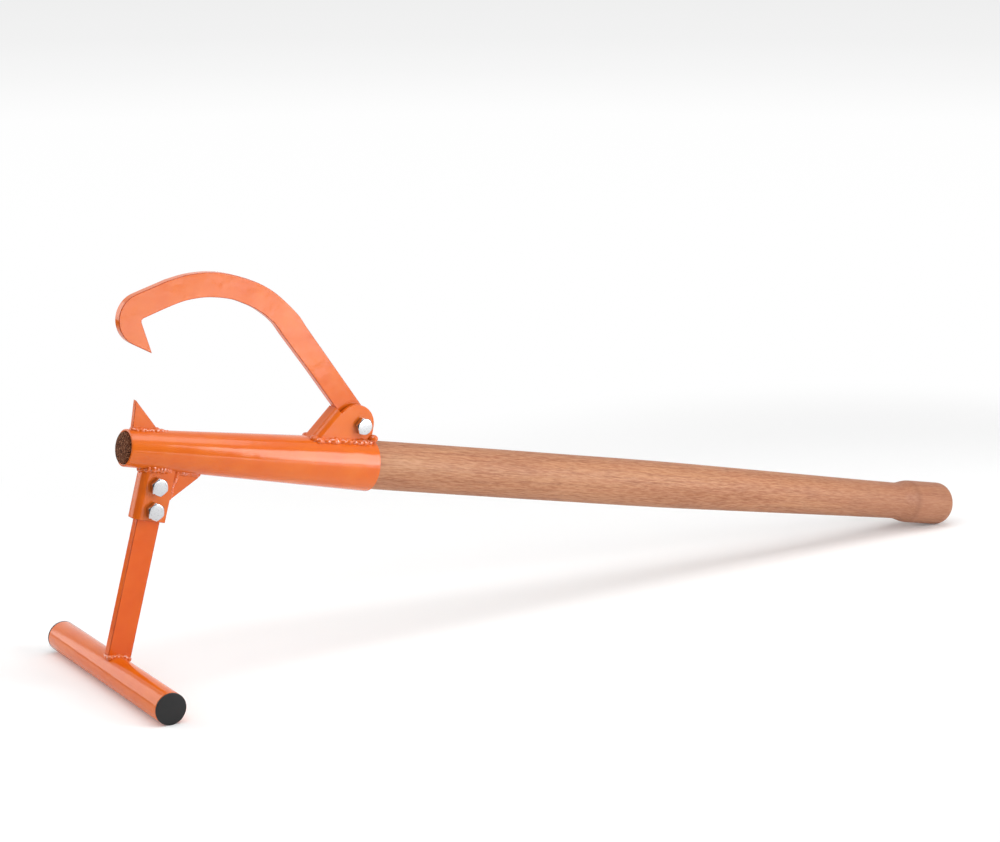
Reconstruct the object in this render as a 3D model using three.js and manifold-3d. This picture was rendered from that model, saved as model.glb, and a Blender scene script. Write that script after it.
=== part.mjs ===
// Log lifter: a wooden lever in a steel socket, with a swinging log hook and a T-shaped foot.
// Lengths are millimetres. The pieces are laid out along the handle axis: +X runs from the
// socket mouth towards the knob, +Z is the hook side and +Y is the side with the nuts.
// At the end the whole tool is tilted so that it stands on its foot and its knob.

import * as THREE from 'three';
import { mergeVertices } from 'three/addons/utils/BufferGeometryUtils.js';
import Module from 'manifold-3d';

const wasm = await Module();
wasm.setup();

// Fits
const seatGap = 0.3;
const hookPlay = 2.8;
const cutOverrun = 6;
const edgeBreak = 0.6;

// Socket, a tapered steel tube
const socketLength = 289;
const socketMouthRadius = 19.3;
const socketRearRadius = 29.1;
const socketWall = 2.6;

// Handle, turned wood that stands a little proud of the socket mouth and ends in a knob
const toolLength = 1160;
const handleProud = 2.5;
const handleNoseGap = 0.2;
const handleNoseLength = 8;
const gripRadius = 27.1;
const neckRadius = 22.6;
const knobRadius = 26.6;
const knobLength = 64;
const knobFlare = 26;
const knobRounding = 15;
const gripShares = [
  [0.033, 0.98],
  [0.169, 0.995],
  [0.313, 1],
  [0.464, 1],
  [0.625, 0.942],
  [0.794, 0.871],
];

// Screw that keeps the handle in the socket
const screwSetback = 40;
const screwLength = 26;
const screwRadius = 2.4;
const screwHeadRadius = 5;
const screwHeadHeight = 2.8;

// Spike, an upright plate on the socket mouth
const spikeThickness = 6;
const spikeFrontSetback = 5;
const spikeTipSetback = 3.9;
const spikeTipHeight = 50.2;
const spikeFootLength = 29.5;
const spikeEdgeBreak = 1;

// Hook, cut from plate, measured from its pivot towards the nose and upwards
const hookThickness = 10;
const hookReach = 296.4;
const hookRise = 144.9;
const hookNoseRadius = 27.5;
const hookHeelRadius = 12.6;
const hookHeelOffset = 2.2;
const hookHeelAngle = THREE.MathUtils.degToRad(46.4);
const hookThroatFillet = 4;
const hookPivotSetback = 21;
const hookPivotHeight = 43.7;
const noseCentreShare = [0.909, 0.615];
const tipShare = [0.86, 0.384];
const throatShare = [0.921, 0.611];
const shankBendShare = [0.243, 0.371];
const outerCrownShares = [
  [0.327, 0.776],
  [0.433, 0.912],
  [0.539, 0.979],
  [0.66, 1],
  [0.762, 0.965],
  [0.841, 0.904],
];
const innerCrownShares = [
  [0.847, 0.695],
  [0.782, 0.762],
  [0.73, 0.798],
  [0.673, 0.82],
  [0.599, 0.823],
  [0.546, 0.804],
  [0.485, 0.767],
  [0.414, 0.69],
];

// Hook bracket, a bent channel whose web leans back under the hook
const bracketWall = 4.5;
const bracketBend = 7.5;
const hookWebLean = THREE.MathUtils.degToRad(35.6);
const hookWebReach = 57.1;
const hookWebLength = 66;
const earRadius = 22.1;
const earOffset = 8;

// Leg, a flat bar that leans towards the mouth, with a cross tube as its foot
const legWidth = 26.2;
const legThickness = 10;
const legLean = THREE.MathUtils.degToRad(3.63);
const legFootStation = 27.1;
const legDrop = 234.2;
const legHeadroom = 11;
const footRadius = 16.65;
const footWall = 2.5;
const footLength = 266;

// Leg bracket, the same bent channel standing straight, with the leg bolted inside it
const legBracketDrop = 73;
const legBracketLip = 3.3;
const legBracketPlay = 1.8;
const legBoltDrop = 36.1;
const legBoltSpacing = 25.8;
const upperBoltSetback = -0.5;
const lowerBoltSetback = 1.2;

// Gusset behind the leg bracket
const gussetThickness = 10;
const gussetReach = 86.8;
const gussetToe = 3.1;
const gussetDepth = 55;

// Plugs in the ends of the cross tube
const plugFlange = 2;
const plugStem = 16;
const plugWall = 2;
const plugEdgeBreak = 0.7;

// Bolts and lock nuts, one size throughout
const boltRadius = 5;
const boltHeadWidth = 17;
const boltHeadHeight = 6.4;
const hookBoltLength = 40;
const legBoltLength = 34;
const boltHole = 5.4;
const nutHeight = 6.6;
const nutCollar = 3.2;
const nutCollarRadius = 7.6;
const nutInsertRadius = 6.5;
const hookBoltTurn = THREE.MathUtils.degToRad(33.6);
const upperBoltTurn = THREE.MathUtils.degToRad(-14);
const lowerBoltTurn = THREE.MathUtils.degToRad(-11.6);

// Welds, runs of overlapping beads
const weldPitchShare = 1.4;
const weldRippleShare = 0.14;
const weldRippleTurn = 2.4;
const spikeWeldRadius = 3.6;
const spikeWeldInset = 1.4;
const spikeWeldTail = 12;
const tailSinkShare = 0.55;
const hookWeldRadius = 4.6;
const hookWeldOverhang = 2;
const hookWeldEndRise = 4.5;
const hookWeldEndSpread = 1;
const legBracketWeldRadius = 4;
const gussetWeldRadius = 3.4;
const gussetWeldInset = 1;
const footWeldRadius = 3.3;
const footWeldInset = 2;

// Facets: sides of a round piece, and steps in each curve of an outline
const tubeSides = 40;
const boltSides = 20;
const hexSides = 6;
const curveSteps = 6;
const beadDetail = 1;

const mergeTolerance = 1e-4;
const orange = new THREE.Color('#e8733a');
const zinc = new THREE.Color('#d9dadd');
const wood = new THREE.Color('#c68f6b');
const black = new THREE.Color('#2f2f31');
const nylon = new THREE.Color('#e4e6e8');

// A closed three.js geometry as a solid that can be cut and joined
function solidOf(geometry) {
  const bare = geometry.clone();
  bare.deleteAttribute('normal');
  bare.deleteAttribute('uv');
  const merged = mergeVertices(bare, mergeTolerance);
  const corners = merged.index.array;
  const triangles = [];
  for (let i = 0; i < corners.length; i += 3) {
    const [a, b, c] = [corners[i], corners[i + 1], corners[i + 2]];
    if (a !== b && b !== c && c !== a) triangles.push(a, b, c);
  }
  return new wasm.Manifold(new wasm.Mesh({
    numProp: 3,
    vertProperties: new Float32Array(merged.attributes.position.array),
    triVerts: new Uint32Array(triangles),
  }));
}

function joined(solids) {
  return solids.reduce((whole, piece) => whole.add(piece));
}

// A body of revolution about the X axis, from [station, radius] pairs
function turned(profile, sides) {
  const points = profile.map(([station, radius]) => new THREE.Vector2(radius, station));
  return solidOf(new THREE.LatheGeometry(points, sides).rotateZ(-Math.PI / 2));
}

// The same about the Y axis
function turnedAcross(profile, sides) {
  const points = profile.map(([station, radius]) => new THREE.Vector2(radius, station));
  return solidOf(new THREE.LatheGeometry(points, sides));
}

function rodAcross(radius, length, sides) {
  return solidOf(new THREE.CylinderGeometry(radius, radius, length, sides));
}

// An outline in X and Z made into a plate of the given thickness, centred on Y = 0
function plate(shape, thickness, bevel = 0) {
  const geometry = new THREE.ExtrudeGeometry(shape, {
    depth: thickness - 2 * bevel,
    bevelEnabled: bevel > 0,
    bevelThickness: bevel,
    bevelSize: bevel,
    bevelOffset: -bevel,
    bevelSegments: 1,
    curveSegments: curveSteps,
  });
  return solidOf(geometry.translate(0, 0, bevel - thickness / 2).rotateX(Math.PI / 2));
}

function polygon(points) {
  return new THREE.Shape(points.map(([x, z]) => new THREE.Vector2(x, z)));
}

// Where a line from a point touches a circle; side +1 is the left of the way to its centre
function touchPoint(from, centre, radius, side) {
  const away = from.clone().sub(centre);
  const turn = side * Math.acos(radius / away.length());
  return away.setLength(radius).rotateAround(new THREE.Vector2(), -turn).add(centre);
}

function socketRadius(station) {
  return THREE.MathUtils.mapLinear(station, 0, socketLength, socketMouthRadius, socketRearRadius);
}

// A point on the socket's surface; side is +1 above the axis and -1 below it
function onSocket(station, across, side) {
  const height = Math.sqrt(socketRadius(station) ** 2 - across ** 2);
  return new THREE.Vector3(station, across, side * height);
}

// The socket's outside as a full body, grown by a clearance
function socketEnvelope(grow) {
  return turned([
    [-grow, 0],
    [-grow, socketMouthRadius + grow],
    [socketLength + grow, socketRearRadius + grow],
    [socketLength + grow, 0],
  ], tubeSides);
}

// The retaining screw's shank or its hole, driven in from the +Y side
function screwShank(radius, length) {
  const station = socketLength - screwSetback;
  const seat = socketRadius(station) + seatGap;
  return rodAcross(radius, length, boltSides).translate([station, seat - length / 2, 0]);
}

function handleScrew() {
  const station = socketLength - screwSetback;
  const seat = socketRadius(station) + seatGap;
  const head = turnedAcross([
    [0, 0],
    [0, screwHeadRadius],
    [screwHeadHeight / 2, screwHeadRadius],
    [screwHeadHeight, screwHeadRadius / 2],
    [screwHeadHeight, 0],
  ], boltSides);
  return screwShank(screwRadius, screwLength).add(head.translate([station, seat, 0]));
}

function screwHole() {
  return screwShank(screwRadius + seatGap, screwLength + seatGap)
    .add(screwShank(screwRadius + seatGap, cutOverrun).translate([0, cutOverrun / 2, 0]));
}

function socket() {
  const tube = turned([
    [0, socketMouthRadius - socketWall],
    [0, socketMouthRadius],
    [socketLength, socketRearRadius],
    [socketLength, socketRearRadius - socketWall],
    [0, socketMouthRadius - socketWall],
  ], tubeSides);
  return tube.subtract(screwHole());
}

function handle() {
  const inset = socketWall + seatGap;
  const freeLength = toolLength - socketLength;
  const profile = [
    [-handleProud, 0],
    [-handleProud, socketMouthRadius - inset - handleNoseGap],
    [handleNoseLength, socketRadius(handleNoseLength) - inset],
    [socketLength, socketRearRadius - inset],
  ];
  for (const [along, across] of gripShares) {
    profile.push([socketLength + freeLength * along, gripRadius * across]);
  }
  const knobStart = toolLength - knobLength;
  const flareSteps = curveSteps + 2;
  for (let i = 0; i <= flareSteps; i += 1) {
    const swell = (1 - Math.cos((Math.PI * i) / flareSteps)) / 2;
    profile.push([
      knobStart - knobFlare * (1 - i / flareSteps),
      THREE.MathUtils.lerp(neckRadius, knobRadius, swell),
    ]);
  }
  for (let i = 0; i <= flareSteps; i += 1) {
    const angle = ((Math.PI / 2) * i) / flareSteps;
    profile.push([
      toolLength - knobRounding * (1 - Math.sin(angle)),
      knobRadius - knobRounding * (1 - Math.cos(angle)),
    ]);
  }
  profile.push([toolLength, 0]);
  return turned(profile, tubeSides).subtract(screwHole());
}

// The spike's plate down to the axis, grown all round by a clearance
function spikeBlank(grow, bevel) {
  const front = spikeFrontSetback - grow;
  const rear = spikeFrontSetback + spikeFootLength + grow;
  const outline = polygon([
    [front, 0],
    [rear, 0],
    [rear, socketRadius(rear)],
    [spikeTipSetback, spikeTipHeight + grow],
    [front, socketMouthRadius],
  ]);
  return plate(outline, spikeThickness + 2 * grow, bevel);
}

function spike() {
  return spikeBlank(0, spikeEdgeBreak).subtract(socketEnvelope(seatGap));
}

// Hook outline, from its pivot, in X and Z
function hookPoint([along, up]) {
  return new THREE.Vector2(-hookReach * along, hookRise * up);
}

function hookHeel() {
  return new THREE.Vector2(hookHeelOffset, 0).rotateAround(new THREE.Vector2(), hookHeelAngle);
}

function hookShankEnd() {
  return touchPoint(hookPoint(shankBendShare), hookHeel(), hookHeelRadius, -1);
}

function arcAlong(shape, centre, radius, from, to) {
  const start = from.clone().sub(centre).angle();
  const end = to.clone().sub(centre).angle();
  shape.absarc(centre.x, centre.y, radius, start, end, false);
}

function hookOutline() {
  const outer = outerCrownShares.map(hookPoint);
  const inner = innerCrownShares.map(hookPoint);
  const heel = hookHeel();
  const nose = hookPoint(noseCentreShare);
  const tip = hookPoint(tipShare);
  const throat = hookPoint(throatShare);
  const heelStart = touchPoint(outer[0], heel, hookHeelRadius, 1);
  const noseStart = touchPoint(outer.at(-1), nose, hookNoseRadius, -1);
  const noseEnd = touchPoint(tip, nose, hookNoseRadius, 1);
  const throatIn = throat.clone().add(tip.clone().sub(throat).setLength(hookThroatFillet));
  const throatOut = throat.clone().add(inner[0].clone().sub(throat).setLength(hookThroatFillet));
  const shape = new THREE.Shape();
  shape.moveTo(heelStart.x, heelStart.y);
  shape.lineTo(outer[0].x, outer[0].y);
  shape.splineThru(outer.slice(1));
  shape.lineTo(noseStart.x, noseStart.y);
  arcAlong(shape, nose, hookNoseRadius, noseStart, noseEnd);
  shape.lineTo(tip.x, tip.y);
  shape.lineTo(throatIn.x, throatIn.y);
  shape.quadraticCurveTo(throat.x, throat.y, throatOut.x, throatOut.y);
  shape.lineTo(inner[0].x, inner[0].y);
  shape.splineThru(inner.slice(1));
  shape.lineTo(hookPoint(shankBendShare).x, hookPoint(shankBendShare).y);
  shape.lineTo(hookShankEnd().x, hookShankEnd().y);
  arcAlong(shape, heel, hookHeelRadius, hookShankEnd(), heelStart);
  return shape;
}

const hookPivot = new THREE.Vector2(socketLength - hookPivotSetback, hookPivotHeight);

function hook() {
  const pivotHole = rodAcross(boltRadius + seatGap, hookThickness + cutOverrun, boltSides);
  return plate(hookOutline(), hookThickness, edgeBreak)
    .subtract(pivotHole)
    .translate([hookPivot.x, 0, hookPivot.y]);
}

// A full bar with two rounded front corners; its front is on the YZ plane and it runs along +X
function channelBlank(width, depth, bend, length) {
  const half = width / 2;
  const section = new THREE.Shape();
  section.moveTo(depth, -half);
  section.lineTo(depth, half);
  section.lineTo(bend, half);
  section.absarc(bend, half - bend, bend, Math.PI / 2, Math.PI, false);
  section.lineTo(0, bend - half);
  section.absarc(bend, bend - half, bend, Math.PI, 1.5 * Math.PI, false);
  const settings = { depth: length, bevelEnabled: false, curveSegments: curveSteps };
  return solidOf(new THREE.ExtrudeGeometry(section, settings));
}

// A bent channel, open to the rear: a web across the front and a flange on each side
function channel(gap, depth, length) {
  const inside = channelBlank(gap, depth, bracketBend - bracketWall, length + 2 * cutOverrun)
    .translate([bracketWall, 0, -cutOverrun]);
  return channelBlank(gap + 2 * bracketWall, depth, bracketBend, length).subtract(inside);
}

// The room such a channel takes up, grown all round by the seat gap
function channelCore(gap, depth, length) {
  const width = gap + 2 * (bracketWall + seatGap);
  return channelBlank(width, depth + 2 * seatGap, bracketBend + seatGap, length)
    .translate([-seatGap, 0, 0]);
}

// The hook bracket's side: up the web, along under the resting hook, round the ear, down
function hookBracketOutline() {
  const foot = new THREE.Vector2(hookPivot.x - hookWebReach, socketRadius(hookPivot.x - hookWebReach));
  const webUp = new THREE.Vector2(Math.sin(hookWebLean), Math.cos(hookWebLean));
  const shankTop = hookPoint(shankBendShare).add(hookPivot);
  const shankEnd = hookShankEnd().add(hookPivot);
  const shankAlong = shankEnd.clone().sub(shankTop).normalize();
  const below = new THREE.Vector2(shankAlong.y, -shankAlong.x).multiplyScalar(seatGap);
  const restStart = shankTop.clone().add(below);
  const rise = restStart.clone().sub(foot).cross(shankAlong) / webUp.cross(shankAlong);
  const webTop = foot.clone().addScaledVector(webUp, rise);
  const notch = webTop.clone().addScaledVector(shankAlong, bracketBend);
  const ear = new THREE.Vector2(hookPivot.x - earOffset, hookPivot.y);
  const earStart = touchPoint(notch, ear, earRadius, 1);
  const shape = new THREE.Shape();
  shape.moveTo(foot.x - webUp.x * foot.y / webUp.y, 0);
  shape.lineTo(webTop.x, webTop.y);
  shape.lineTo(notch.x, notch.y);
  shape.lineTo(earStart.x, earStart.y);
  shape.absarc(ear.x, ear.y, earRadius, earStart.clone().sub(ear).angle(), 0, true);
  shape.lineTo(ear.x + earRadius, 0);
  return shape;
}

const hookBracketWidth = hookThickness + 2 * (hookPlay + bracketWall);
const legBracketWidth = legThickness + 2 * (seatGap + bracketWall);

function boltHoleAt(x, z, width) {
  return rodAcross(boltHole, width + cutOverrun, boltSides).translate([x, 0, z]);
}

// A length of channel leaned back over the socket, where the hook bracket stands
function atHookWeb(solid) {
  const footStation = hookPivot.x - hookWebReach;
  return solid
    .translate([0, 0, -hookWebLength])
    .rotate([0, THREE.MathUtils.radToDeg(hookWebLean), 0])
    .translate([footStation, 0, socketRadius(footStation)]);
}

function hookBracket() {
  const side = plate(hookBracketOutline(), hookBracketWidth + cutOverrun);
  const bent = channel(hookThickness + 2 * hookPlay, hookWebReach + earRadius, 2 * hookWebLength);
  return atHookWeb(bent)
    .intersect(side)
    .subtract(socketEnvelope(seatGap))
    .subtract(boltHoleAt(hookPivot.x, hookPivot.y, hookBracketWidth));
}

// What the hook bracket's weld stays clear of: the channel, cut off square behind the ears
function hookBracketCore() {
  const core = channelCore(hookThickness + 2 * hookPlay, hookWebReach + earRadius, 2 * hookWebLength);
  const rear = hookPivot.x - earOffset + earRadius + seatGap;
  const behind = polygon([[0, 0], [rear, 0], [rear, toolLength], [0, toolLength]]);
  return atHookWeb(core).intersect(plate(behind, hookBracketWidth + cutOverrun));
}

// The leg's own frame: x runs rearwards from its centre line, z up it from the foot tube's centre
const legFrame = new THREE.Matrix4()
  .makeTranslation(legFootStation, 0, -legDrop)
  .multiply(new THREE.Matrix4().makeRotationY(legLean));
const legAxisHeight = legDrop / Math.cos(legLean);
const legBoltPlaces = [
  new THREE.Vector3(upperBoltSetback, 0, legAxisHeight - legBoltDrop),
  new THREE.Vector3(lowerBoltSetback, 0, legAxisHeight - legBoltDrop - legBoltSpacing),
];

function inLegFrame(solid) {
  return solid
    .rotate([0, THREE.MathUtils.radToDeg(legLean), 0])
    .translate([legFootStation, 0, -legDrop]);
}

function legBoltHoles() {
  return joined(legBoltPlaces.map((place) => boltHoleAt(place.x, place.z, legBracketWidth)));
}

const legBracketFront = -legWidth / 2 - legBracketPlay - bracketWall;
const legBracketDepth = legWidth / 2 + legBracketLip - legBracketFront;

function atLegBracket(solid) {
  return solid.translate([legBracketFront, 0, legAxisHeight - legBracketDrop]);
}

function legBracket() {
  const bent = channel(legThickness + 2 * seatGap, legBracketDepth, legBracketDrop);
  const drilled = atLegBracket(bent).subtract(legBoltHoles());
  return inLegFrame(drilled).subtract(socketEnvelope(seatGap));
}

// What the welds beside the leg bracket stay clear of
function legBracketCore() {
  const core = channelCore(legThickness + 2 * seatGap, legBracketDepth, legBracketDrop);
  return inLegFrame(atLegBracket(core));
}

function legBar() {
  const foot = footRadius + seatGap;
  const top = legBoltPlaces[0].z + legHeadroom;
  const outline = polygon([
    [-legWidth / 2, foot],
    [legWidth / 2, foot],
    [legWidth / 2, top],
    [-legWidth / 2, top],
  ]);
  const bar = plate(outline, legThickness, edgeBreak).subtract(legBoltHoles());
  return inLegFrame(bar).subtract(socketEnvelope(seatGap));
}

// The gusset's plate up to the axis, grown all round by a clearance
function gussetBlank(grow, bevel) {
  const front = legWidth / 2 + seatGap;
  const top = new THREE.Vector3(front, 0, legAxisHeight).applyMatrix4(legFrame);
  const toe = new THREE.Vector3(front, 0, legAxisHeight - gussetDepth).applyMatrix4(legFrame);
  const rearUnderside = -socketRadius(gussetReach);
  const outline = polygon([
    [toe.x, toe.z - grow],
    [gussetReach + grow, rearUnderside - gussetToe - grow],
    [gussetReach + grow, 0],
    [top.x, 0],
  ]);
  return plate(outline, gussetThickness + 2 * grow, bevel);
}

function legGusset() {
  return gussetBlank(0, edgeBreak).subtract(socketEnvelope(seatGap));
}

// The foot tube lies across, centred on its own axis
function footTube() {
  return turnedAcross([
    [-footLength / 2, footRadius - footWall],
    [-footLength / 2, footRadius],
    [footLength / 2, footRadius],
    [footLength / 2, footRadius - footWall],
    [-footLength / 2, footRadius - footWall],
  ], tubeSides);
}

// A hollow plug with its flange outermost, for the +Y end of the foot tube
function endPlug() {
  const stemRadius = footRadius - footWall - seatGap;
  const seat = footLength / 2 + seatGap;
  const face = seat + plugFlange;
  return turnedAcross([
    [seat, 0],
    [seat, stemRadius - plugWall],
    [seat - plugStem, stemRadius - plugWall],
    [seat - plugStem, stemRadius],
    [seat, stemRadius],
    [seat, footRadius],
    [face - plugEdgeBreak, footRadius],
    [face, footRadius - plugEdgeBreak],
    [face, 0],
  ], tubeSides);
}

// A hexagon across Y with its outer edges turned off at the end that faces -Y
function hexBody(height, turn) {
  const corner = boltHeadWidth / 2 / Math.cos(Math.PI / hexSides);
  const flat = boltHeadWidth / 2;
  const prism = rodAcross(corner, height, hexSides)
    .rotate([0, THREE.MathUtils.radToDeg(turn), 0])
    .translate([0, -height / 2, 0]);
  const chamfer = turnedAcross([
    [-height, 0],
    [-height, flat],
    [-height + (corner - flat), corner + edgeBreak],
    [0, corner + edgeBreak],
    [0, 0],
  ], boltSides);
  return prism.intersect(chamfer);
}

// A bolt through a width of metal: head on the -Y side, end past the nut on the +Y side
function bolt(width, length, turn) {
  const seat = -width / 2 - seatGap;
  const shank = turnedAcross([
    [seat - seatGap, 0],
    [seat - seatGap, boltRadius],
    [seat + length - edgeBreak, boltRadius],
    [seat + length, boltRadius - edgeBreak],
    [seat + length, 0],
  ], boltSides);
  return hexBody(boltHeadHeight, turn).translate([0, seat, 0]).add(shank);
}

// A lock nut on the +Y side: the collar beyond the hexagon holds a ring-shaped insert
function lockNut(width) {
  const seat = width / 2 + seatGap;
  const collar = turnedAcross([
    [nutHeight - edgeBreak, 0],
    [nutHeight - edgeBreak, nutCollarRadius],
    [nutHeight + nutCollar, nutCollarRadius],
    [nutHeight + nutCollar, 0],
  ], boltSides);
  const recess = rodAcross(nutInsertRadius + seatGap, cutOverrun, boltSides)
    .translate([0, nutHeight + cutOverrun / 2, 0]);
  const bore = rodAcross(boltRadius + seatGap, 2 * (nutHeight + nutCollar + cutOverrun), boltSides);
  return hexBody(nutHeight, 0)
    .rotate([0, 0, 180])
    .add(collar)
    .subtract(recess)
    .subtract(bore)
    .translate([0, seat, 0]);
}

function nutInsert(width) {
  const seat = width / 2 + nutHeight + 2 * seatGap;
  const depth = nutCollar - 2 * seatGap;
  return turnedAcross([
    [seat, boltRadius + seatGap],
    [seat, nutInsertRadius],
    [seat + depth, nutInsertRadius],
    [seat + depth, boltRadius + seatGap],
    [seat, boltRadius + seatGap],
  ], boltSides);
}

// A weld: round beads of slightly varying size along a seam, trimmed back from what it joins
function weld(seam, radius, neighbours) {
  const path = new THREE.CurvePath();
  for (let i = 1; i < seam.length; i += 1) path.add(new THREE.LineCurve3(seam[i - 1], seam[i]));
  const count = Math.round(path.getLength() / (radius * weldPitchShare));
  const beads = path.getSpacedPoints(count).map((point, i) => {
    const size = radius * (1 + weldRippleShare * Math.sin(weldRippleTurn * i));
    return solidOf(new THREE.IcosahedronGeometry(size, beadDetail)).translate([point.x, point.y, point.z]);
  });
  return neighbours.reduce((rest, neighbour) => rest.subtract(neighbour), joined(beads));
}

function spikeWeld() {
  const side = spikeThickness / 2;
  const front = spikeFrontSetback + spikeWeldInset;
  const rear = spikeFrontSetback + spikeFootLength;
  const tail = onSocket(rear + spikeWeldTail, 0, 1);
  tail.z -= spikeWeldRadius * tailSinkShare;
  const seam = [
    tail,
    onSocket(rear, -side, 1),
    onSocket(front, -side, 1),
    onSocket(front, side, 1),
    onSocket(rear, side, 1),
    tail,
  ];
  return weld(seam, spikeWeldRadius, [socketEnvelope(seatGap), spikeBlank(seatGap, 0)]);
}

// A seam down one side of a bent channel, round its front and back up the other side
function channelSeam(front, rear, width, side) {
  const half = width / 2;
  const corner = bracketBend * (1 - Math.SQRT1_2);
  return [
    onSocket(rear, -half, side),
    onSocket(front + bracketBend, -half, side),
    onSocket(front + corner, corner - half, side),
    onSocket(front, bracketBend - half, side),
    onSocket(front, half - bracketBend, side),
    onSocket(front + corner, half - corner, side),
    onSocket(front + bracketBend, half, side),
    onSocket(rear, half, side),
  ];
}

function hookBracketWeld() {
  const front = hookPivot.x - hookWebReach - seatGap;
  const rear = hookPivot.x - earOffset + earRadius + hookWeldOverhang;
  const seam = channelSeam(front, rear - hookWeldRadius, hookBracketWidth, 1);
  for (const way of [-1, 1]) {
    const end = onSocket(rear, way * (hookBracketWidth / 2 + hookWeldEndSpread), 1);
    end.z += hookWeldEndRise;
    if (way < 0) seam.unshift(end);
    else seam.push(end);
  }
  return weld(seam, hookWeldRadius, [socketEnvelope(seatGap), hookBracketCore()]);
}

// Where a line of the leg bracket meets the socket, as a station along the handle axis
function legBracketStation(offset) {
  return new THREE.Vector3(offset, 0, legAxisHeight - socketMouthRadius).applyMatrix4(legFrame).x;
}

function legBracketWeld() {
  const front = legBracketStation(legBracketFront);
  const rear = legBracketStation(legWidth / 2) - legBracketWeldRadius;
  const seam = channelSeam(front, rear, legBracketWidth, -1);
  return weld(seam, legBracketWeldRadius, [socketEnvelope(seatGap), legBracketCore()]);
}

// Up the gusset's near side, along the socket, round its rear end and back on the far side
function gussetWeld() {
  const side = gussetThickness / 2;
  const lip = legWidth / 2 + legBracketLip;
  const corner = legBracketStation(lip) + gussetWeldRadius;
  const toe = new THREE.Vector3(lip, 0, legAxisHeight - gussetDepth + 2 * gussetWeldRadius)
    .applyMatrix4(legFrame);
  const rear = gussetReach - gussetWeldInset;
  const seam = [
    toe.clone().setY(-side),
    onSocket(corner, -side, -1),
    onSocket(rear, -side, -1),
    onSocket(rear, side, -1),
    onSocket(corner, side, -1),
    toe.clone().setY(side),
  ];
  const neighbours = [socketEnvelope(seatGap), legBracketCore(), gussetBlank(seatGap, 0)];
  return weld(seam, gussetWeldRadius, neighbours);
}

// The weld between the foot tube's round top and the leg's square lower end
function legFootWeld() {
  const side = legThickness / 2;
  const reach = legWidth / 2 - footWeldInset;
  const steps = 2 * curveSteps;
  const edge = (across, way) => Array.from({ length: steps + 1 }, (_, i) => {
    const x = way * reach * (2 * (i / steps) - 1);
    return new THREE.Vector3(x, across, (footRadius + Math.sqrt(footRadius ** 2 - x ** 2)) / 2);
  });
  const seam = [...edge(-side, 1), ...edge(side, -1)];
  seam.push(seam[0]);
  const solidTube = rodAcross(footRadius + seatGap, footLength, tubeSides);
  const halfWidth = legWidth / 2 + seatGap;
  const solidLeg = plate(polygon([
    [-halfWidth, footRadius],
    [halfWidth, footRadius],
    [halfWidth, legDrop],
    [-halfWidth, legDrop],
  ]), legThickness + 2 * seatGap);
  return inLegFrame(weld(seam, footWeldRadius, [solidTube, solidLeg]));
}

// The tilt at which the foot tube and the knob both touch the floor
function standingTilt() {
  const reach = toolLength - knobRounding - legFootStation;
  const drop = legDrop - knobRadius + knobRounding;
  const difference = footRadius - knobRounding;
  return Math.atan2(drop, reach) + Math.asin(difference / Math.hypot(reach, drop));
}

function mesh(name, solid, settings) {
  const { numProp, vertProperties, triVerts } = solid.getMesh();
  const geometry = new THREE.BufferGeometry();
  geometry.setAttribute('position', new THREE.BufferAttribute(vertProperties, numProp));
  geometry.setIndex(new THREE.BufferAttribute(triVerts, 1));
  geometry.computeVertexNormals();
  const piece = new THREE.Mesh(geometry, new THREE.MeshStandardMaterial(settings));
  piece.name = name;
  return piece;
}

const painted = { color: orange, roughness: 0.3, metalness: 0.1 };
const plated = { color: zinc, roughness: 0.35, metalness: 0.9 };
const turnedWood = { color: wood, roughness: 0.5, metalness: 0 };
const plastic = { color: black, roughness: 0.5, metalness: 0 };
const lockRing = { color: nylon, roughness: 0.5, metalness: 0 };

const tool = new THREE.Group();

function addPiece(name, solid, settings) {
  const piece = mesh(name, solid, settings);
  tool.add(piece);
  return piece;
}

function addFastener(label, x, z, width, length, turn) {
  const place = (solid) => solid.translate([x, 0, z]);
  addPiece(`${label}_bolt`, place(bolt(width, length, turn)), plated);
  addPiece(`${label}_nut`, place(lockNut(width)), plated);
  addPiece(`${label}_nut_insert`, place(nutInsert(width)), lockRing);
}

addPiece('handle', handle(), turnedWood);
addPiece('socket', socket(), painted);
addPiece('handle_screw', handleScrew(), plated);
addPiece('spike', spike(), painted);
addPiece('spike_weld', spikeWeld(), painted);
addPiece('hook_bracket', hookBracket(), painted);
addPiece('hook_bracket_weld', hookBracketWeld(), painted);
addPiece('hook', hook(), painted);
addFastener('hook', hookPivot.x, hookPivot.y, hookBracketWidth, hookBoltLength, hookBoltTurn);
addPiece('leg_bracket', legBracket(), painted);
addPiece('leg_bracket_weld', legBracketWeld(), painted);
addPiece('leg_gusset', legGusset(), painted);
addPiece('gusset_weld', gussetWeld(), painted);
addPiece('leg_bar', legBar(), painted);
['leg_upper', 'leg_lower'].forEach((label, i) => {
  const centre = legBoltPlaces[i].clone().applyMatrix4(legFrame);
  const turn = [upperBoltTurn, lowerBoltTurn][i];
  addFastener(label, centre.x, centre.z, legBracketWidth, legBoltLength, turn);
});
addPiece('leg_foot_weld', legFootWeld(), painted);
addPiece('cross_tube', footTube(), painted);
addPiece('end_plug_far', endPlug(), plastic);
addPiece('end_plug_near', endPlug().rotate([180, 0, 0]), plastic);

// The tube and its plugs sit at the leg's foot, turned so that a facet corner is lowest
const tilt = standingTilt();
for (const name of ['cross_tube', 'end_plug_far', 'end_plug_near']) {
  const piece = tool.getObjectByName(name);
  piece.position.set(legFootStation, 0, -legDrop);
  piece.rotation.y = -tilt;
}

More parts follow.
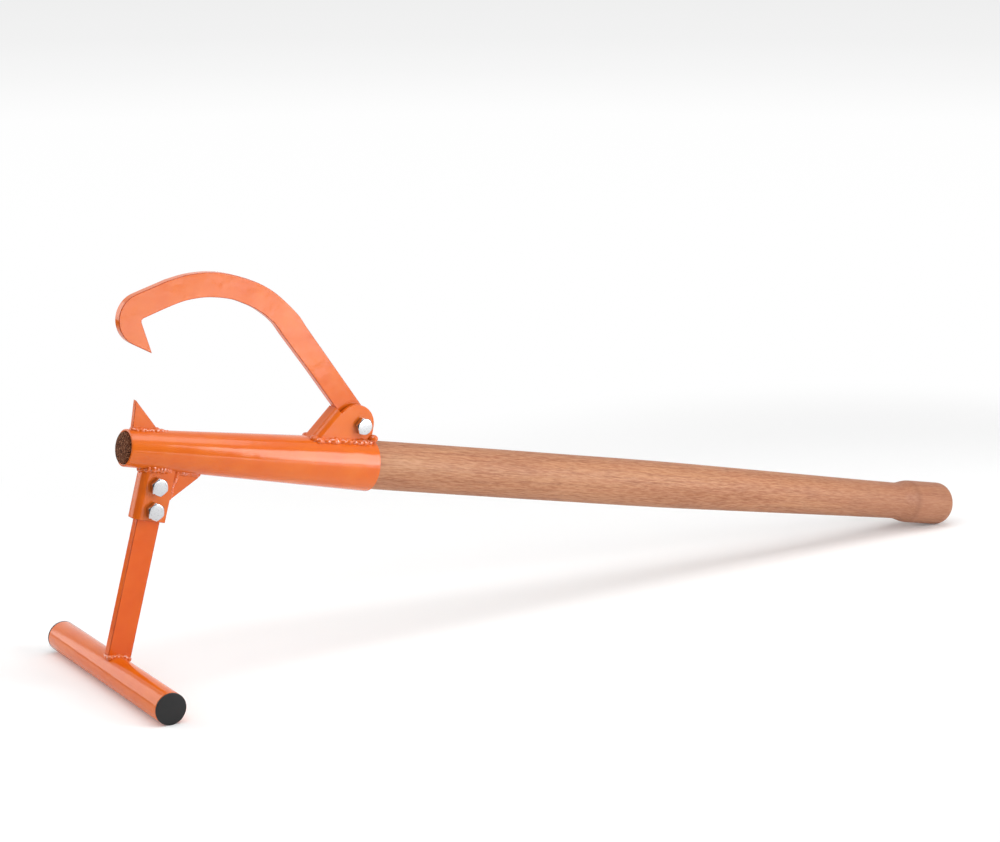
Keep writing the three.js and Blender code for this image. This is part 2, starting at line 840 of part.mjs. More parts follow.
// Stand the tool on the floor, centred under its own bounding box
tool.rotation.y = tilt;
const lifter = new THREE.Group();
lifter.add(tool);
const bounds = new THREE.Box3().setFromObject(lifter, true);
tool.position.set(-(bounds.min.x + bounds.max.x) / 2, 0, -bounds.min.z);

export default lifter;
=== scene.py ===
import math
from functools import partial

import bmesh
import bpy
from mathutils import Matrix, Vector


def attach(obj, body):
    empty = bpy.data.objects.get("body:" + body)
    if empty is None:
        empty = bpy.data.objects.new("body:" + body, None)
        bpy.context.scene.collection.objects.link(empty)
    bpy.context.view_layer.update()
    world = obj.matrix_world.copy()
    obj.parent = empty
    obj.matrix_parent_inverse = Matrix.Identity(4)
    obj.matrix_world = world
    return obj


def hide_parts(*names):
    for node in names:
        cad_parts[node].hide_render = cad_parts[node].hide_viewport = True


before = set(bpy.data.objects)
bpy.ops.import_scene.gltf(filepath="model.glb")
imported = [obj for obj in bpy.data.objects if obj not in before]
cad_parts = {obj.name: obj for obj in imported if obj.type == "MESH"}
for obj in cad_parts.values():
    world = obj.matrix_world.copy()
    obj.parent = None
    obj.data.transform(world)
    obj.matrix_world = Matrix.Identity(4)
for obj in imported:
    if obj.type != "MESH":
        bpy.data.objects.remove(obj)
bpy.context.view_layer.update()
print("frame loaded:", len(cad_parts), "nodes")

# The tool is laid out in millimetres along its handle: s runs back from the socket mouth,
# y across towards the nuts, h up towards the hook. toRow stands it on the floor, in metres.
stance = {
    "tiltDeg": 11.344567,
    "mouth": (-0.551881, 0.0, 0.251605),
}
toRow = (
    Matrix.Translation(stance["mouth"])
    @ Matrix.Rotation(math.radians(stance["tiltDeg"]), 4, "Y")
    @ Matrix.Scale(0.001, 4)
)


# materials

def linear(hexCode):
    values = [int(hexCode[i:i + 2], 16) / 255 for i in (1, 3, 5)]
    return [v / 12.92 if v <= 0.04045 else ((v + 0.055) / 1.055) ** 2.4 for v in values] + [1.0]


def fill(node, inputs):
    # links a socket, or a node's first output in use; any other value is set
    for key, value in inputs.items():
        if isinstance(value, bpy.types.Node):
            value = next(output for output in value.outputs if output.enabled)
        if isinstance(value, bpy.types.NodeSocket):
            node.id_data.links.new(value, node.inputs[key])
        else:
            node.inputs[key].default_value = value


def addNode(tree, kind, inputs=None, stops=(), **settings):
    made = tree.nodes.new(kind)
    for name, value in settings.items():
        setattr(made, name, value)
    for i, (place, colour) in enumerate(stops):
        elements = made.color_ramp.elements
        element = elements[i] if i < len(elements) else elements.new(place)
        element.position, element.color = place, linear(colour)
    fill(made, inputs or {})
    return made


def newMaterial(name):
    # the material, the way to add nodes to it, its shader, and its coordinates in millimetres
    # along and across the handle
    material = bpy.data.materials.new(name)
    material.use_nodes = True
    add = partial(addNode, material.node_tree)
    at = add("ShaderNodeMapping", {
        "Vector": add("ShaderNodeTexCoord").outputs["Object"],
        "Location": stance["mouth"],
        "Rotation": (0, math.radians(stance["tiltDeg"]), 0),
        "Scale": (0.001, 0.001, 0.001),
    }, vector_type="TEXTURE")
    return material, add, material.node_tree.nodes["Principled BSDF"], at


def orangeEnamel(name, stops, gloss=0.54, pooled=0.0):
    # sprayed gloss enamel on steel: even colour, a clear wet sheen, a faint orange peel and
    # slow waves in the coat that break up what it mirrors
    material, add, shader, at = newMaterial(name)
    drift = add("ShaderNodeTexNoise", {"Vector": at, "Scale": 1 / 30, "Detail": 3.0})
    waves = add("ShaderNodeTexNoise", {"Vector": at, "Scale": 1 / 28, "Detail": 2.0})
    peel = add("ShaderNodeTexNoise", {"Vector": at, "Scale": 1 / 2.5, "Detail": 2.0})
    sag = add("ShaderNodeBump", {"Height": waves, "Strength": 0.65, "Distance": 0.0009})
    fill(shader, {
        "Base Color": add("ShaderNodeValToRGB", {"Fac": drift}, stops),
        "Roughness": 0.16, "IOR": 1.5, "Specular IOR Level": gloss,
        "Normal": add("ShaderNodeBump", {
            "Height": peel, "Strength": 0.05, "Distance": 0.0004, "Normal": sag}),
    })
    if pooled:
        pools = add("ShaderNodeTexNoise", {"Vector": at, "Scale": 1 / 3.2, "Detail": 1.0})
        wet = add("ShaderNodeMapRange", {
            "Value": pools, "From Min": 0.48, "From Max": 0.58, "To Max": pooled})
        fill(shader, {"Coat Weight": wet, "Coat Roughness": 0.08, "Coat IOR": 1.9})
    return material


def zincPlate():
    # bright zinc on rolled steel: pale, metallic, softly blurred, with faint dull specks
    material, add, shader, at = newMaterial("bright zinc plate")
    specks = add("ShaderNodeTexNoise", {"Vector": at, "Scale": 1 / 1.6, "Detail": 3.0})
    fill(shader, {
        "Base Color": add("ShaderNodeValToRGB", {"Fac": specks}, [
            (0.27, "#a9abb0"), (0.42, "#d0d1d3")]),
        "Metallic": 1.0,
        "Roughness": add("ShaderNodeMapRange", {"Value": specks, "To Min": 0.2, "To Max": 0.1}),
        "Normal": add("ShaderNodeBump", {"Height": specks, "Strength": 0.15, "Distance": 0.0002}),
    })
    return material


# millimetres along and across the grain, detail and distortion of each pattern; the pores of the
# real wood are finer, and are drawn just coarse enough to show
grain = {
    "drift": (220, 22, 2.0, 0.4), "streaks": (110, 2.8, 4.0, 0.4), "threads": (34, 1.0, 3.0, 0.0),
    "fibres": (11, 1.3, 3.0, 0.0), "pores": (7, 1.1, 1.0, 0.0), "blotches": (46, 13, 2.0, 0.6),
    "wobble": (180, 40, 1.0, 0.0),
}
rings = {"width": 6.5, "pith": (34.0, -46.0), "sway": 26.0}  # the pith lies outside the stick
flareStation = 1093.0


def varnishedHardwood():
    # turned hardwood under thin satin varnish: long pinkish streaks and short dark pores
    material, add, shader, at = newMaterial("varnished hardwood")
    seen = {}
    for name, (along, across, detail, distortion) in grain.items():
        scaled = add("ShaderNodeMapping", {
            "Vector": at, "Scale": (1 / along, 1 / across, 1 / across)}, vector_type="POINT")
        seen[name] = add("ShaderNodeTexNoise", {
            "Vector": scaled, "Scale": 1.0, "Detail": detail, "Distortion": distortion})
    flat = add("ShaderNodeVectorMath", {0: at, 1: (0, 1, 1)}, operation="MULTIPLY")
    away = add("ShaderNodeVectorMath", {0: flat, 1: (0, *rings["pith"])}, operation="DISTANCE")
    swayed = add("ShaderNodeMath", {
        0: seen["wobble"], 1: rings["sway"], 2: away}, operation="MULTIPLY_ADD")
    phase = add("ShaderNodeMath", {0: swayed, 1: 2 * math.pi / rings["width"]}, operation="MULTIPLY")
    seen["rings"] = add("ShaderNodeMath", {0: phase}, operation="SINE")
    seen["station"] = add("ShaderNodeSeparateXYZ", {"Vector": at})
    fromFlare = add("ShaderNodeMath", {0: seen["station"], 1: flareStation}, operation="SUBTRACT")
    seen["flare"] = add("ShaderNodeMath", {0: fromFlare}, operation="ABSOLUTE")

    colour = add("ShaderNodeValToRGB", {"Fac": seen["drift"]}, [
        (0.3, "#9c6140"), (0.5, "#ad7350"), (0.7, "#b9835d")])
    for name, low, high, most, tone in (
        ("streaks", 0.48, 0.68, 0.75, "#8f5236"),
        ("rings", 0.1, 1.0, 0.26, "#a3644a"),
        ("blotches", 0.52, 0.76, 0.5, "#8f5a40"),
        ("threads", 0.4, 0.7, 0.34, "#935a3e"),
        ("fibres", 0.36, 0.64, 0.34, "#dcab84"),
        ("pores", 0.6, 0.8, 0.3, "#6b432d"),
        ("station", 850.0, 1080.0, 0.45, "#94604a"),  # painted shade: darker towards the knob, where the lamps fall off
        ("flare", 7.0, 0.0, 0.35, "#7a4a33"),  # and has a dark ring where the knob flares
    ):
        amount = add("ShaderNodeMapRange", {
            "Value": seen[name], "From Min": low, "From Max": high, "To Max": most})
        colour = add("ShaderNodeMix", {0: amount, 6: colour, 7: linear(tone)}, data_type="RGBA")
    relief = add("ShaderNodeMath", {
        0: seen["pores"], 1: -0.6, 2: seen["fibres"]}, operation="MULTIPLY_ADD")
    fill(shader, {
        "Base Color": colour, "IOR": 1.5, "Specular IOR Level": 0.4,
        "Roughness": add("ShaderNodeMapRange", {
            "Value": seen["fibres"], "From Min": 0.3, "From Max": 0.7, "To Min": 0.6, "To Max": 0.5}),
        "Normal": add("ShaderNodeBump", {"Height": relief, "Strength": 0.1, "Distance": 0.0004}),
    })
    return material


def bareEndGrainAndGapShade():
    # sawn end grain, dry and unvarnished: dull dark brown with open pores and pale flecks. On the nose's
    # side next to the socket's rim the same colour is painted shade for the gap at the mouth
    material, add, shader, at = newMaterial("bare end grain and painted gap shade")
    flecks = add("ShaderNodeTexNoise", {"Vector": at, "Scale": 1 / 1.1, "Detail": 3.0})
    fill(shader, {
        "Base Color": add("ShaderNodeValToRGB", {"Fac": flecks}, [
            (0.4, "#1e0d06"), (0.49, "#5c321d"), (0.6, "#84523a"), (0.68, "#c09472")]),
        "Roughness": 0.85, "Specular IOR Level": 0.1,
        "Normal": add("ShaderNodeBump", {"Height": flecks, "Strength": 0.4, "Distance": 0.0006}),
    })
    return material


def mouldedPlastic(name, colour, roughness):
    # injection-moulded polyethylene or nylon: one colour, a fine spark texture and a soft sheen
    material, add, shader, at = newMaterial(name)
    grit = add("ShaderNodeTexNoise", {"Vector": at, "Scale": 1 / 0.7, "Detail": 2.0})
    dust = add("ShaderNodeTexNoise", {"Vector": at, "Scale": 1 / 8, "Detail": 3.0})
    fill(shader, {
        "Base Color": linear(colour), "IOR": 1.5,
        "Roughness": add("ShaderNodeMapRange", {
            "Value": dust, "To Min": roughness - 0.08, "To Max": roughness + 0.08}),
        "Normal": add("ShaderNodeBump", {"Height": grit, "Strength": 0.2, "Distance": 0.0002}),
    })
    return material


enamel = orangeEnamel("orange enamel", [(0.3, "#da6012"), (0.7, "#e06c18")])
# painted shade: the bevelled edges take a darker, redder copy of the enamel, for the dark line that the
# bevels show between the lit faces
edgeShadeEnamel = orangeEnamel("orange enamel with painted edge shade", [(0.3, "#b0410f"), (0.7, "#cf5716")])
# on the beads it pools thick and wet, which gives small pale glints
weldEnamel = orangeEnamel("pooled orange enamel", [(0.3, "#d25a12"), (0.7, "#dc6718")], 0.5, 1.0)
# painted shade: the flat bar, low down where less light falls, takes a redder and less glossy copy of
# the enamel
shadedBarEnamel = orangeEnamel("orange enamel on the bar with painted shade", [(0.3, "#da5811"), (0.7, "#e06215")], 0.35)
zinc = zincPlate()
hardwood = varnishedHardwood()
endGrainAndGapShade = bareEndGrainAndGapShade()
plugPlastic = mouldedPlastic("black polyethylene", "#09090b", 0.42)
ringNylon = mouldedPlastic("white nylon", "#dfe2e4", 0.4)
print("materials made")


# shapes that several pieces share

def bake(name, source, place=toRow):
    # the evaluated object as a plain mesh, moved from tool millimetres to the row frame
    depsgraph = bpy.context.evaluated_depsgraph_get()
    mesh = bpy.data.meshes.new_from_object(
        source.evaluated_get(depsgraph), preserve_all_data_layers=True, depsgraph=depsgraph)
    source.modifiers.clear()
    mesh.name = name
    mesh.transform(place)
    old = source.data
    source.data = mesh
    bpy.data.meshes.remove(old)
    source.name = name
    return source


def newObject(name, data):
    made = bpy.data.objects.new(name, data)
    bpy.context.scene.collection.objects.link(made)
    return made


def looseObject(name, points, faces=()):
    # without faces the points are joined in a chain
    edges = [] if faces else [(i, i + 1) for i in range(len(points) - 1)]
    mesh = bpy.data.meshes.new(name)
    mesh.from_pydata([tuple(p) for p in points], edges, faces)
    return newObject(name, mesh)


def turnOut(source, merge=0.000002, flatDeg=0.0):
    # merge doubles, dissolve what is nearly flat and make every face point outwards
    form = bmesh.new()
    form.from_mesh(source.data)
    bmesh.ops.remove_doubles(form, verts=form.verts, dist=merge)
    if flatDeg:
        bmesh.ops.dissolve_limit(form, angle_limit=math.radians(flatDeg), verts=form.verts,
                                 edges=form.edges)
    bmesh.ops.recalc_face_normals(form, faces=form.faces)
    form.to_mesh(source.data)
    form.free()


def prism(name, low, high):
    # a closed solid between two rings with the same number of points
    count = len(low)
    faces = [tuple(range(count)), tuple(range(2 * count - 1, count - 1, -1))]
    faces += [(i, (i + 1) % count, count + (i + 1) % count, count + i) for i in range(count)]
    made = looseObject(name, low + high, faces)
    turnOut(made)
    return made


def dress(piece, material, node, body="lifter"):
    # pieces whose bevels carry the painted edge shade keep both materials
    if edgeShadeEnamel.name not in piece.data.materials:
        piece.data.materials.clear()
        piece.data.materials.append(material)
    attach(piece, body)
    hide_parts(node)


def newTree(name, whole, *numbers):
    # a Geometry Nodes tree with a material, one whole number and some other numbers as inputs
    tree = bpy.data.node_groups.new(name, "GeometryNodeTree")
    for label, kind in (("Geometry", "Geometry"), (whole, "Int"), *((n, "Float") for n in numbers),
                        ("Material", "Material")):
        tree.interface.new_socket(name=label, in_out="INPUT", socket_type="NodeSocket" + kind)
    tree.interface.new_socket(name="Geometry", in_out="OUTPUT", socket_type="NodeSocketGeometry")
    add = partial(addNode, tree)
    return add, add("NodeGroupInput"), add("NodeGroupOutput")


def applyTree(source, tree, values):
    modifier = source.modifiers.new(tree.name, "NODES")
    modifier.node_group = tree
    places = {
        item.name: item.identifier for item in tree.interface.items_tree
        if item.item_type == "SOCKET" and item.in_out == "INPUT"
    }
    for name, value in values.items():
        modifier[places[name]] = value


def closeTree(add, given, out, shape):
    real = add("GeometryNodeRealizeInstances", {"Geometry": shape})
    fill(out, {"Geometry": add("GeometryNodeSetMaterial", {
        "Geometry": real, "Material": given.outputs["Material"]})})
    return out.id_data


def lathe():
    # turns a profile of (station, radius, thread) points about the X axis; Flats cuts it to a
    # hexagon that wide, and where thread is 1 the surface gets a helical thread
    numbers = ("Sides", "Flats", "Turn", "Pitch", "Depth")
    add, given, out = newTree("lathe", *numbers)
    profile = given.outputs["Geometry"]
    sample = add("GeometryNodeSampleIndex", {
        "Geometry": profile, "Value": add("GeometryNodeInputPosition")},
        data_type="FLOAT_VECTOR", domain="POINT")
    point = add("ShaderNodeSeparateXYZ", {0: sample})
    known = {name: given.outputs[name] for name in numbers}
    known.update(zip(("station", "radius", "thread"), point.outputs))
    known["index"] = add("GeometryNodeInputIndex")
    # one math node a row: its name, what it does and to what
    for name, operation, *terms in (
        ("perRow", "ADD", "Sides", 1.0),
        ("nudged", "ADD", "index", 0.5), ("rowShare", "DIVIDE", "nudged", "perRow"),
        ("row", "FLOOR", "rowShare"), ("rowStart", "MULTIPLY", "row", "perRow"),
        ("column", "SUBTRACT", "index", "rowStart"), ("share", "DIVIDE", "column", "Sides"),
        ("angle", "MULTIPLY", "share", 2 * math.pi),
        ("fromFlat", "WRAP", "angle", math.pi / 6, -math.pi / 6), ("spread", "COSINE", "fromFlat"),
        ("toFlat", "MULTIPLY", "Flats", 0.5), ("flatRadius", "DIVIDE", "toFlat", "spread"),
        ("cut", "MINIMUM", "radius", "flatRadius"),
        ("turns", "DIVIDE", "station", "Pitch"), ("lead", "SUBTRACT", "turns", "share"),
        ("wave", "PINGPONG", "lead", 0.5), ("groove", "MULTIPLY", "wave", 2.0),
        ("deep", "MULTIPLY", "groove", "Depth"), ("worn", "MULTIPLY", "deep", "thread"),
        ("final", "SUBTRACT", "cut", "worn"),
        ("turned", "ADD", "angle", "Turn"), ("cosine", "COSINE", "turned"), ("sine", "SINE", "turned"),
        ("y", "MULTIPLY", "final", "cosine"), ("z", "MULTIPLY", "final", "sine"),
    ):
        known[name] = add("ShaderNodeMath", {
            i: known.get(term, term) for i, term in enumerate(terms)}, operation=operation)
    fill(sample, {"Index": known["row"]})
    rows = add("GeometryNodeAttributeDomainSize", {"Geometry": profile}).outputs["Point Count"]
    grid = add("GeometryNodeMeshGrid", {"Vertices X": rows, "Vertices Y": known["perRow"]})
    place = add("ShaderNodeCombineXYZ", {0: known["station"], 1: known["y"], 2: known["z"]})
    moved = add("GeometryNodeSetPosition", {"Geometry": grid, "Position": place})
    merged = add("GeometryNodeMergeByDistance", {"Geometry": moved, "Distance": 0.0005})
    return closeTree(add, given, out, merged)


latheTree = lathe()


def turnedPiece(name, profile, material, place=toRow, sides=120, flats=1000.0, turnDeg=0.0,
                pitch=1.5, depth=0.0, sharpDeg=40):
    source = looseObject(name, [(p[0], p[1], p[2] if len(p) > 2 else 0.0) for p in profile])
    applyTree(source, latheTree, {
        "Sides": sides, "Flats": flats, "Turn": math.radians(turnDeg), "Pitch": pitch,
        "Depth": depth, "Material": material,
    })
    piece = bake(name, source, place)
    turnOut(piece)
    piece.data.shade_smooth()
    piece.data.set_sharp_from_angle(angle=math.radians(sharpDeg))
    return piece


def across(s=0.0, h=0.0):
    # a lathe axis laid across the tool at a point beside its axis
    return toRow @ Matrix.Translation((s, 0, h)) @ Matrix.Rotation(math.radians(90), 4, "Z")


def eased(points, radius, steps=4, keep=()):
    # rounds every corner of an open profile but the first, the last and those in keep
    result = [points[0]]
    for i in range(1, len(points) - 1):
        before, corner, after = (Vector(points[j][:2]) for j in (i - 1, i, i + 1))
        if i in keep:
            result.append(points[i])
            continue
        reach = min(radius, (before - corner).length * 0.45, (after - corner).length * 0.45)
        start = corner + (before - corner).normalized() * reach
        end = corner + (after - corner).normalized() * reach
        for k in range(steps + 1):
            t = k / steps
            result.append(tuple(start * (1 - t) ** 2 + corner * 2 * t * (1 - t) + end * t ** 2))
    result.append(points[-1])
    return result


def plateFrom(name, outline, thickness, bevel, place=toRow, coat=enamel):
    # a flat plate with rounded edges, from an outline in s and h, centred across the tool
    half = thickness / 2
    source = prism(name, [(s, -half, h) for s, h in outline], [(s, half, h) for s, h in outline])
    return bevelled(name, source, bevel, place, coat)


def bevelled(name, source, bevel, place=toRow, coat=enamel):
    source.data.shade_smooth()
    edge = source.modifiers.new("edge", "BEVEL")
    edge.width = bevel
    edge.segments = 2
    edge.limit_method = "ANGLE"
    edge.angle_limit = math.radians(32)
    edge.harden_normals = True
    edge.use_clamp_overlap = True
    source.data.materials.append(coat)
    source.data.materials.append(edgeShadeEnamel)
    # the bevels take the enamel with painted edge shade
    edge.material = 1
    return bake(name, source, place)


def touchPoint(start, centre, radius, side):
    away = start - centre
    turn = -side * math.acos(radius / away.length)
    x, y = away.normalized() * radius
    return centre + Vector((x * math.cos(turn) - y * math.sin(turn),
                            x * math.sin(turn) + y * math.cos(turn)))


def arc(centre, radius, start, end, steps, clockwise=False):
    # start and end are points or angles
    a, b = (math.atan2(*reversed(p - centre)) if isinstance(p, Vector) else p for p in (start, end))
    while not clockwise and b < a:
        b += 2 * math.pi
    while clockwise and b > a:
        b -= 2 * math.pi
    angles = [a + (b - a) * i / steps for i in range(steps + 1)]
    return [centre + Vector((math.cos(t), math.sin(t))) * radius for t in angles]


def smoothThrough(points, steps):
    # a Catmull-Rom curve through the points
    result = []
    for i in range(len(points) - 1):
        p0, p1 = points[max(i - 1, 0)], points[i]
        p2, p3 = points[i + 1], points[min(i + 2, len(points) - 1)]
        v0, v1 = (p2 - p0) / 2, (p3 - p1) / 2
        for k in range(steps):
            t = k / steps
            result.append((2 * p1 - 2 * p2 + v0 + v1) * t ** 3
                          + (-3 * p1 + 3 * p2 - 2 * v0 - v1) * t ** 2 + v0 * t + p1)
    return result + [points[-1]]


# socket and handle

socketSizes = {"length": 289.0, "mouthRadius": 19.3, "rearRadius": 29.1, "wall": 2.6, "rimRound": 0.9}


def socketRadius(s):
    z = socketSizes
    return z["mouthRadius"] + (z["rearRadius"] - z["mouthRadius"]) * s / z["length"]


def onSocket(s, y, side, bury=0.0):
    return Vector((s, y, side * math.sqrt((socketRadius(s) - bury) ** 2 - y ** 2)))


def makeSocket():
    z = socketSizes
    wall = z["wall"]
    middle = z["length"] / 2
    loop = [
        (middle, socketRadius(middle)),
        (0, z["mouthRadius"]),
        (0, z["mouthRadius"] - wall),
        (z["length"], z["rearRadius"] - wall),
        (z["length"], z["rearRadius"]),
        (middle, socketRadius(middle)),
    ]
    dress(turnedPiece("socket_tube", eased(loop, z["rimRound"]), enamel, sides=160),
          enamel, "socket")


handleSizes = {
    "length": 1160.0, "proud": 2.5, "noseGap": 0.2, "noseLength": 8.0, "noseEdge": (0.5, 0.8),
    "fit": 0.3, "endGrainAndGapShadeEnd": 4.0, "grip": 27.1, "neck": 22.6, "knob": 26.6, "knobLength": 64.0,
    "knobFlare": 26.0, "knobRounding": 15.0, "steps": 14,
    "gripShares": [(0.033, 0.98), (0.169, 0.995), (0.313, 1), (0.464, 1), (0.625, 0.942),
                   (0.794, 0.871)],
}


def makeHandle():
    z = handleSizes
    inset = socketSizes["wall"] + z["fit"]
    socketEnd = socketSizes["length"]
    nose = socketSizes["mouthRadius"] - inset - z["noseGap"]
    free = z["length"] - socketEnd
    swell = [Vector((socketEnd, socketSizes["rearRadius"] - inset))]
    swell += [Vector((socketEnd + free * a, z["grip"] * b)) for a, b in z["gripShares"]]
    knobStart = z["length"] - z["knobLength"]
    swell.append(Vector((knobStart - z["knobFlare"], z["neck"])))
    profile = [(-z["proud"], 0.0), (-z["proud"], nose - z["noseEdge"][1]),
               (z["noseEdge"][0] - z["proud"], nose),
               (z["noseLength"], socketRadius(z["noseLength"]) - inset)]
    profile += [tuple(p) for p in smoothThrough(swell, 8)]
    steps = z["steps"]
    for i in range(1, steps + 1):
        rise = (1 - math.cos(math.pi * i / steps)) / 2
        profile.append((knobStart - z["knobFlare"] * (1 - i / steps),
                        z["neck"] + (z["knob"] - z["neck"]) * rise))
    for i in range(steps + 1):
        a = math.pi / 2 * i / steps
        profile.append((z["length"] - z["knobRounding"] * (1 - math.sin(a)),
                        z["knob"] - z["knobRounding"] * (1 - math.cos(a))))
    profile.append((z["length"], 0.0))
    piece = turnedPiece("turned_handle", profile, hardwood, sides=160, sharpDeg=60)
    dress(piece, hardwood, "handle")
    piece.data.materials.append(endGrainAndGapShade)
    toTool = toRow.inverted()
    # the sawn end is real end grain; the nose's side back into the socket gets the same dark colour as
    # painted shade in the gap at the mouth
    for face in piece.data.polygons:
        face.material_index = 1 if (toTool @ face.center).x < z["endGrainAndGapShadeEnd"] else 0


screwSizes = {
    "setback": 40.0, "length": 26.0, "point": 4.0, "radius": 2.4, "headRadius": 5.0,
    "headHeight": 2.8, "rim": 0.5, "seatGap": 0.3,
}


def makeScrew():
    z = screwSizes
    s = socketSizes["length"] - z["setback"]
    seat = socketRadius(s) + z["seatGap"]
    tip = seat - z["length"]
    profile = [(tip, 0), (tip + z["point"], z["radius"]), (seat, z["radius"]), (seat, z["headRadius"])]
    for i in range(9):
        a = math.pi / 2 * i / 8
        profile.append((seat + z["rim"] + (z["headHeight"] - z["rim"]) * math.sin(a),
                        z["headRadius"] * math.cos(a)))
    dress(turnedPiece("handle_screw_body", profile, zinc, across(s, 0), sides=48),
          zinc, "handle_screw")


makeSocket()
makeHandle()
makeScrew()
print("socket and handle made")


# hook

hookSizes = {
    "pivot": (268.0, 43.7), "thickness": 10.0, "reach": 296.4, "rise": 144.9, "edge": 0.8,
    "blend": 20.0, "noseRadius": 27.5, "heelRadius": 12.6, "heelOffset": 2.2, "heelDeg": 46.4,
    "throat": 4.0, "noseShare": (0.909, 0.615), "tipShare": (0.86, 0.384),
    "throatShare": (0.921, 0.611), "bendShare": (0.243, 0.371),
    "outerShares": [(0.327, 0.776), (0.433, 0.912), (0.539, 0.979), (0.66, 1), (0.762, 0.965),
                    (0.841, 0.904)],
    "innerShares": [(0.847, 0.695), (0.782, 0.762), (0.73, 0.798), (0.673, 0.82), (0.599, 0.823),
                    (0.546, 0.804), (0.485, 0.767), (0.414, 0.69)],
}


def hookPoint(share):
    z = hookSizes
    return Vector((z["pivot"][0] - z["reach"] * share[0], z["pivot"][1] + z["rise"] * share[1]))


def hookHeel():
    z = hookSizes
    a = math.radians(z["heelDeg"])
    return Vector(z["pivot"]) + Vector((math.cos(a), math.sin(a))) * z["heelOffset"]


def hookShankEnd():
    return touchPoint(hookPoint(hookSizes["bendShare"]), hookHeel(), hookSizes["heelRadius"], -1)


def ledIn(points, start, blend):
    # two more points in front, so that a curve through all leaves a straight line smoothly
    way = (start - points[0]).normalized()
    return [points[0] + way * 2 * blend, points[0] + way * blend] + points


def hookOutline():
    z = hookSizes
    heel, bend = hookHeel(), hookPoint(z["bendShare"])
    nose, tip, throat = (hookPoint(z[name]) for name in ("noseShare", "tipShare", "throatShare"))
    outer = [hookPoint(p) for p in z["outerShares"]]
    inner = [hookPoint(p) for p in z["innerShares"]]
    heelStart = touchPoint(outer[0], heel, z["heelRadius"], 1)
    noseStart = touchPoint(outer[-1], nose, z["noseRadius"], -1)
    noseEnd = touchPoint(tip, nose, z["noseRadius"], 1)
    outer = ledIn(outer, heelStart, z["blend"])
    inner = ledIn(inner[::-1], bend, z["blend"])[::-1]
    throatIn = throat + (tip - throat).normalized() * z["throat"]
    throatOut = throat + (inner[0] - throat).normalized() * z["throat"]
    points = [heelStart] + smoothThrough(outer, 8)[8:]
    points += arc(nose, z["noseRadius"], noseStart, noseEnd, 28)
    points += [tip, throatIn]
    points += [throatIn * (1 - t) ** 2 + throat * 2 * t * (1 - t) + throatOut * t ** 2
               for t in (0.2, 0.4, 0.6, 0.8)]
    points += [throatOut] + smoothThrough(inner, 8)[:-8] + [bend]
    points += arc(heel, z["heelRadius"], hookShankEnd(), heelStart, 32)[:-1]
    return points


def makeHook():
    z = hookSizes
    dress(plateFrom("log_hook_plate", hookOutline(), z["thickness"], z["edge"]),
          enamel, "hook", "log_hook")


makeHook()
print("hook made")


# bent brackets

bracketSizes = {"wall": 4.5, "bend": 7.5, "bendSteps": 12, "edge": 0.5}


def channelSection(gap, depth):
    # outline of a bent channel in x and y: its web stands at x = 0 and its flanges run back
    z = bracketSizes
    wall, bend, steps = z["wall"], z["bend"], z["bendSteps"]
    half = gap / 2 + wall
    inner = bend - wall
    quarter = math.pi / 2
    points = [Vector((depth, -gap / 2))]
    points += arc(Vector((bend, inner - gap / 2)), inner, -quarter, -2 * quarter, steps, clockwise=True)
    points += arc(Vector((bend, gap / 2 - inner)), inner, 2 * quarter, quarter, steps, clockwise=True)
    points += [Vector((depth, gap / 2)), Vector((depth, half))]
    points += arc(Vector((bend, half - bend)), bend, quarter, 2 * quarter, steps)
    points += arc(Vector((bend, bend - half)), bend, 2 * quarter, 3 * quarter, steps)
    points.append(Vector((depth, -half)))
    return points


def extruded(name, section, low, high):
    # a closed bar along z; low and high give the end heights at a section point
    return prism(name, [(x, y, low(x, y)) for x, y in section],
                 [(x, y, high(x, y)) for x, y in section])


legSizes = {
    "width": 26.2, "thickness": 10.0, "leanDeg": 3.63, "footStation": 27.1, "drop": 234.2,
    "headroom": 11.0, "edge": 1.0, "seatGap": 0.3, "boltDrop": 36.1, "boltSpacing": 25.8,
    "boltSetbacks": (-0.5, 1.2), "footRadius": 16.65, "footWall": 2.5, "footLength": 266.0,
    "footEdge": 0.5, "bracketDrop": 73.0, "bracketLip": 3.3, "bracketPlay": 1.8, "bracketBury": 1.2,
}
legLean = math.radians(legSizes["leanDeg"])
legFrame = (
    Matrix.Translation((legSizes["footStation"], 0, -legSizes["drop"]))
    @ Matrix.Rotation(legLean, 4, "Y")
)
legAxisHeight = legSizes["drop"] / math.cos(legLean)


def copedHeight(x, y, bury):
    # how far up the leg a line at x and y runs before it is bury deep in the socket's wall
    height = legAxisHeight
    for _ in range(6):
        s = (legFrame @ Vector((x, y, height))).x
        h = onSocket(s, y, -1, bury).z
        height = (h + legSizes["drop"] + x * math.sin(legLean)) / math.cos(legLean)
    return height


def makeLegBracket():
    z = legSizes
    front = -z["width"] / 2 - z["bracketPlay"] - bracketSizes["wall"]
    depth = z["width"] / 2 + z["bracketLip"] - front
    gap = z["thickness"] + 2 * z["seatGap"]
    section = [Vector((p.x + front, p.y)) for p in channelSection(gap, depth)]
    source = extruded("leg_bracket_channel", section,
                      lambda x, y: legAxisHeight - z["bracketDrop"],
                      lambda x, y: copedHeight(x, y, z["bracketBury"]))
    dress(bevelled("leg_bracket_channel", source, bracketSizes["edge"], toRow @ legFrame),
          enamel, "leg_bracket")


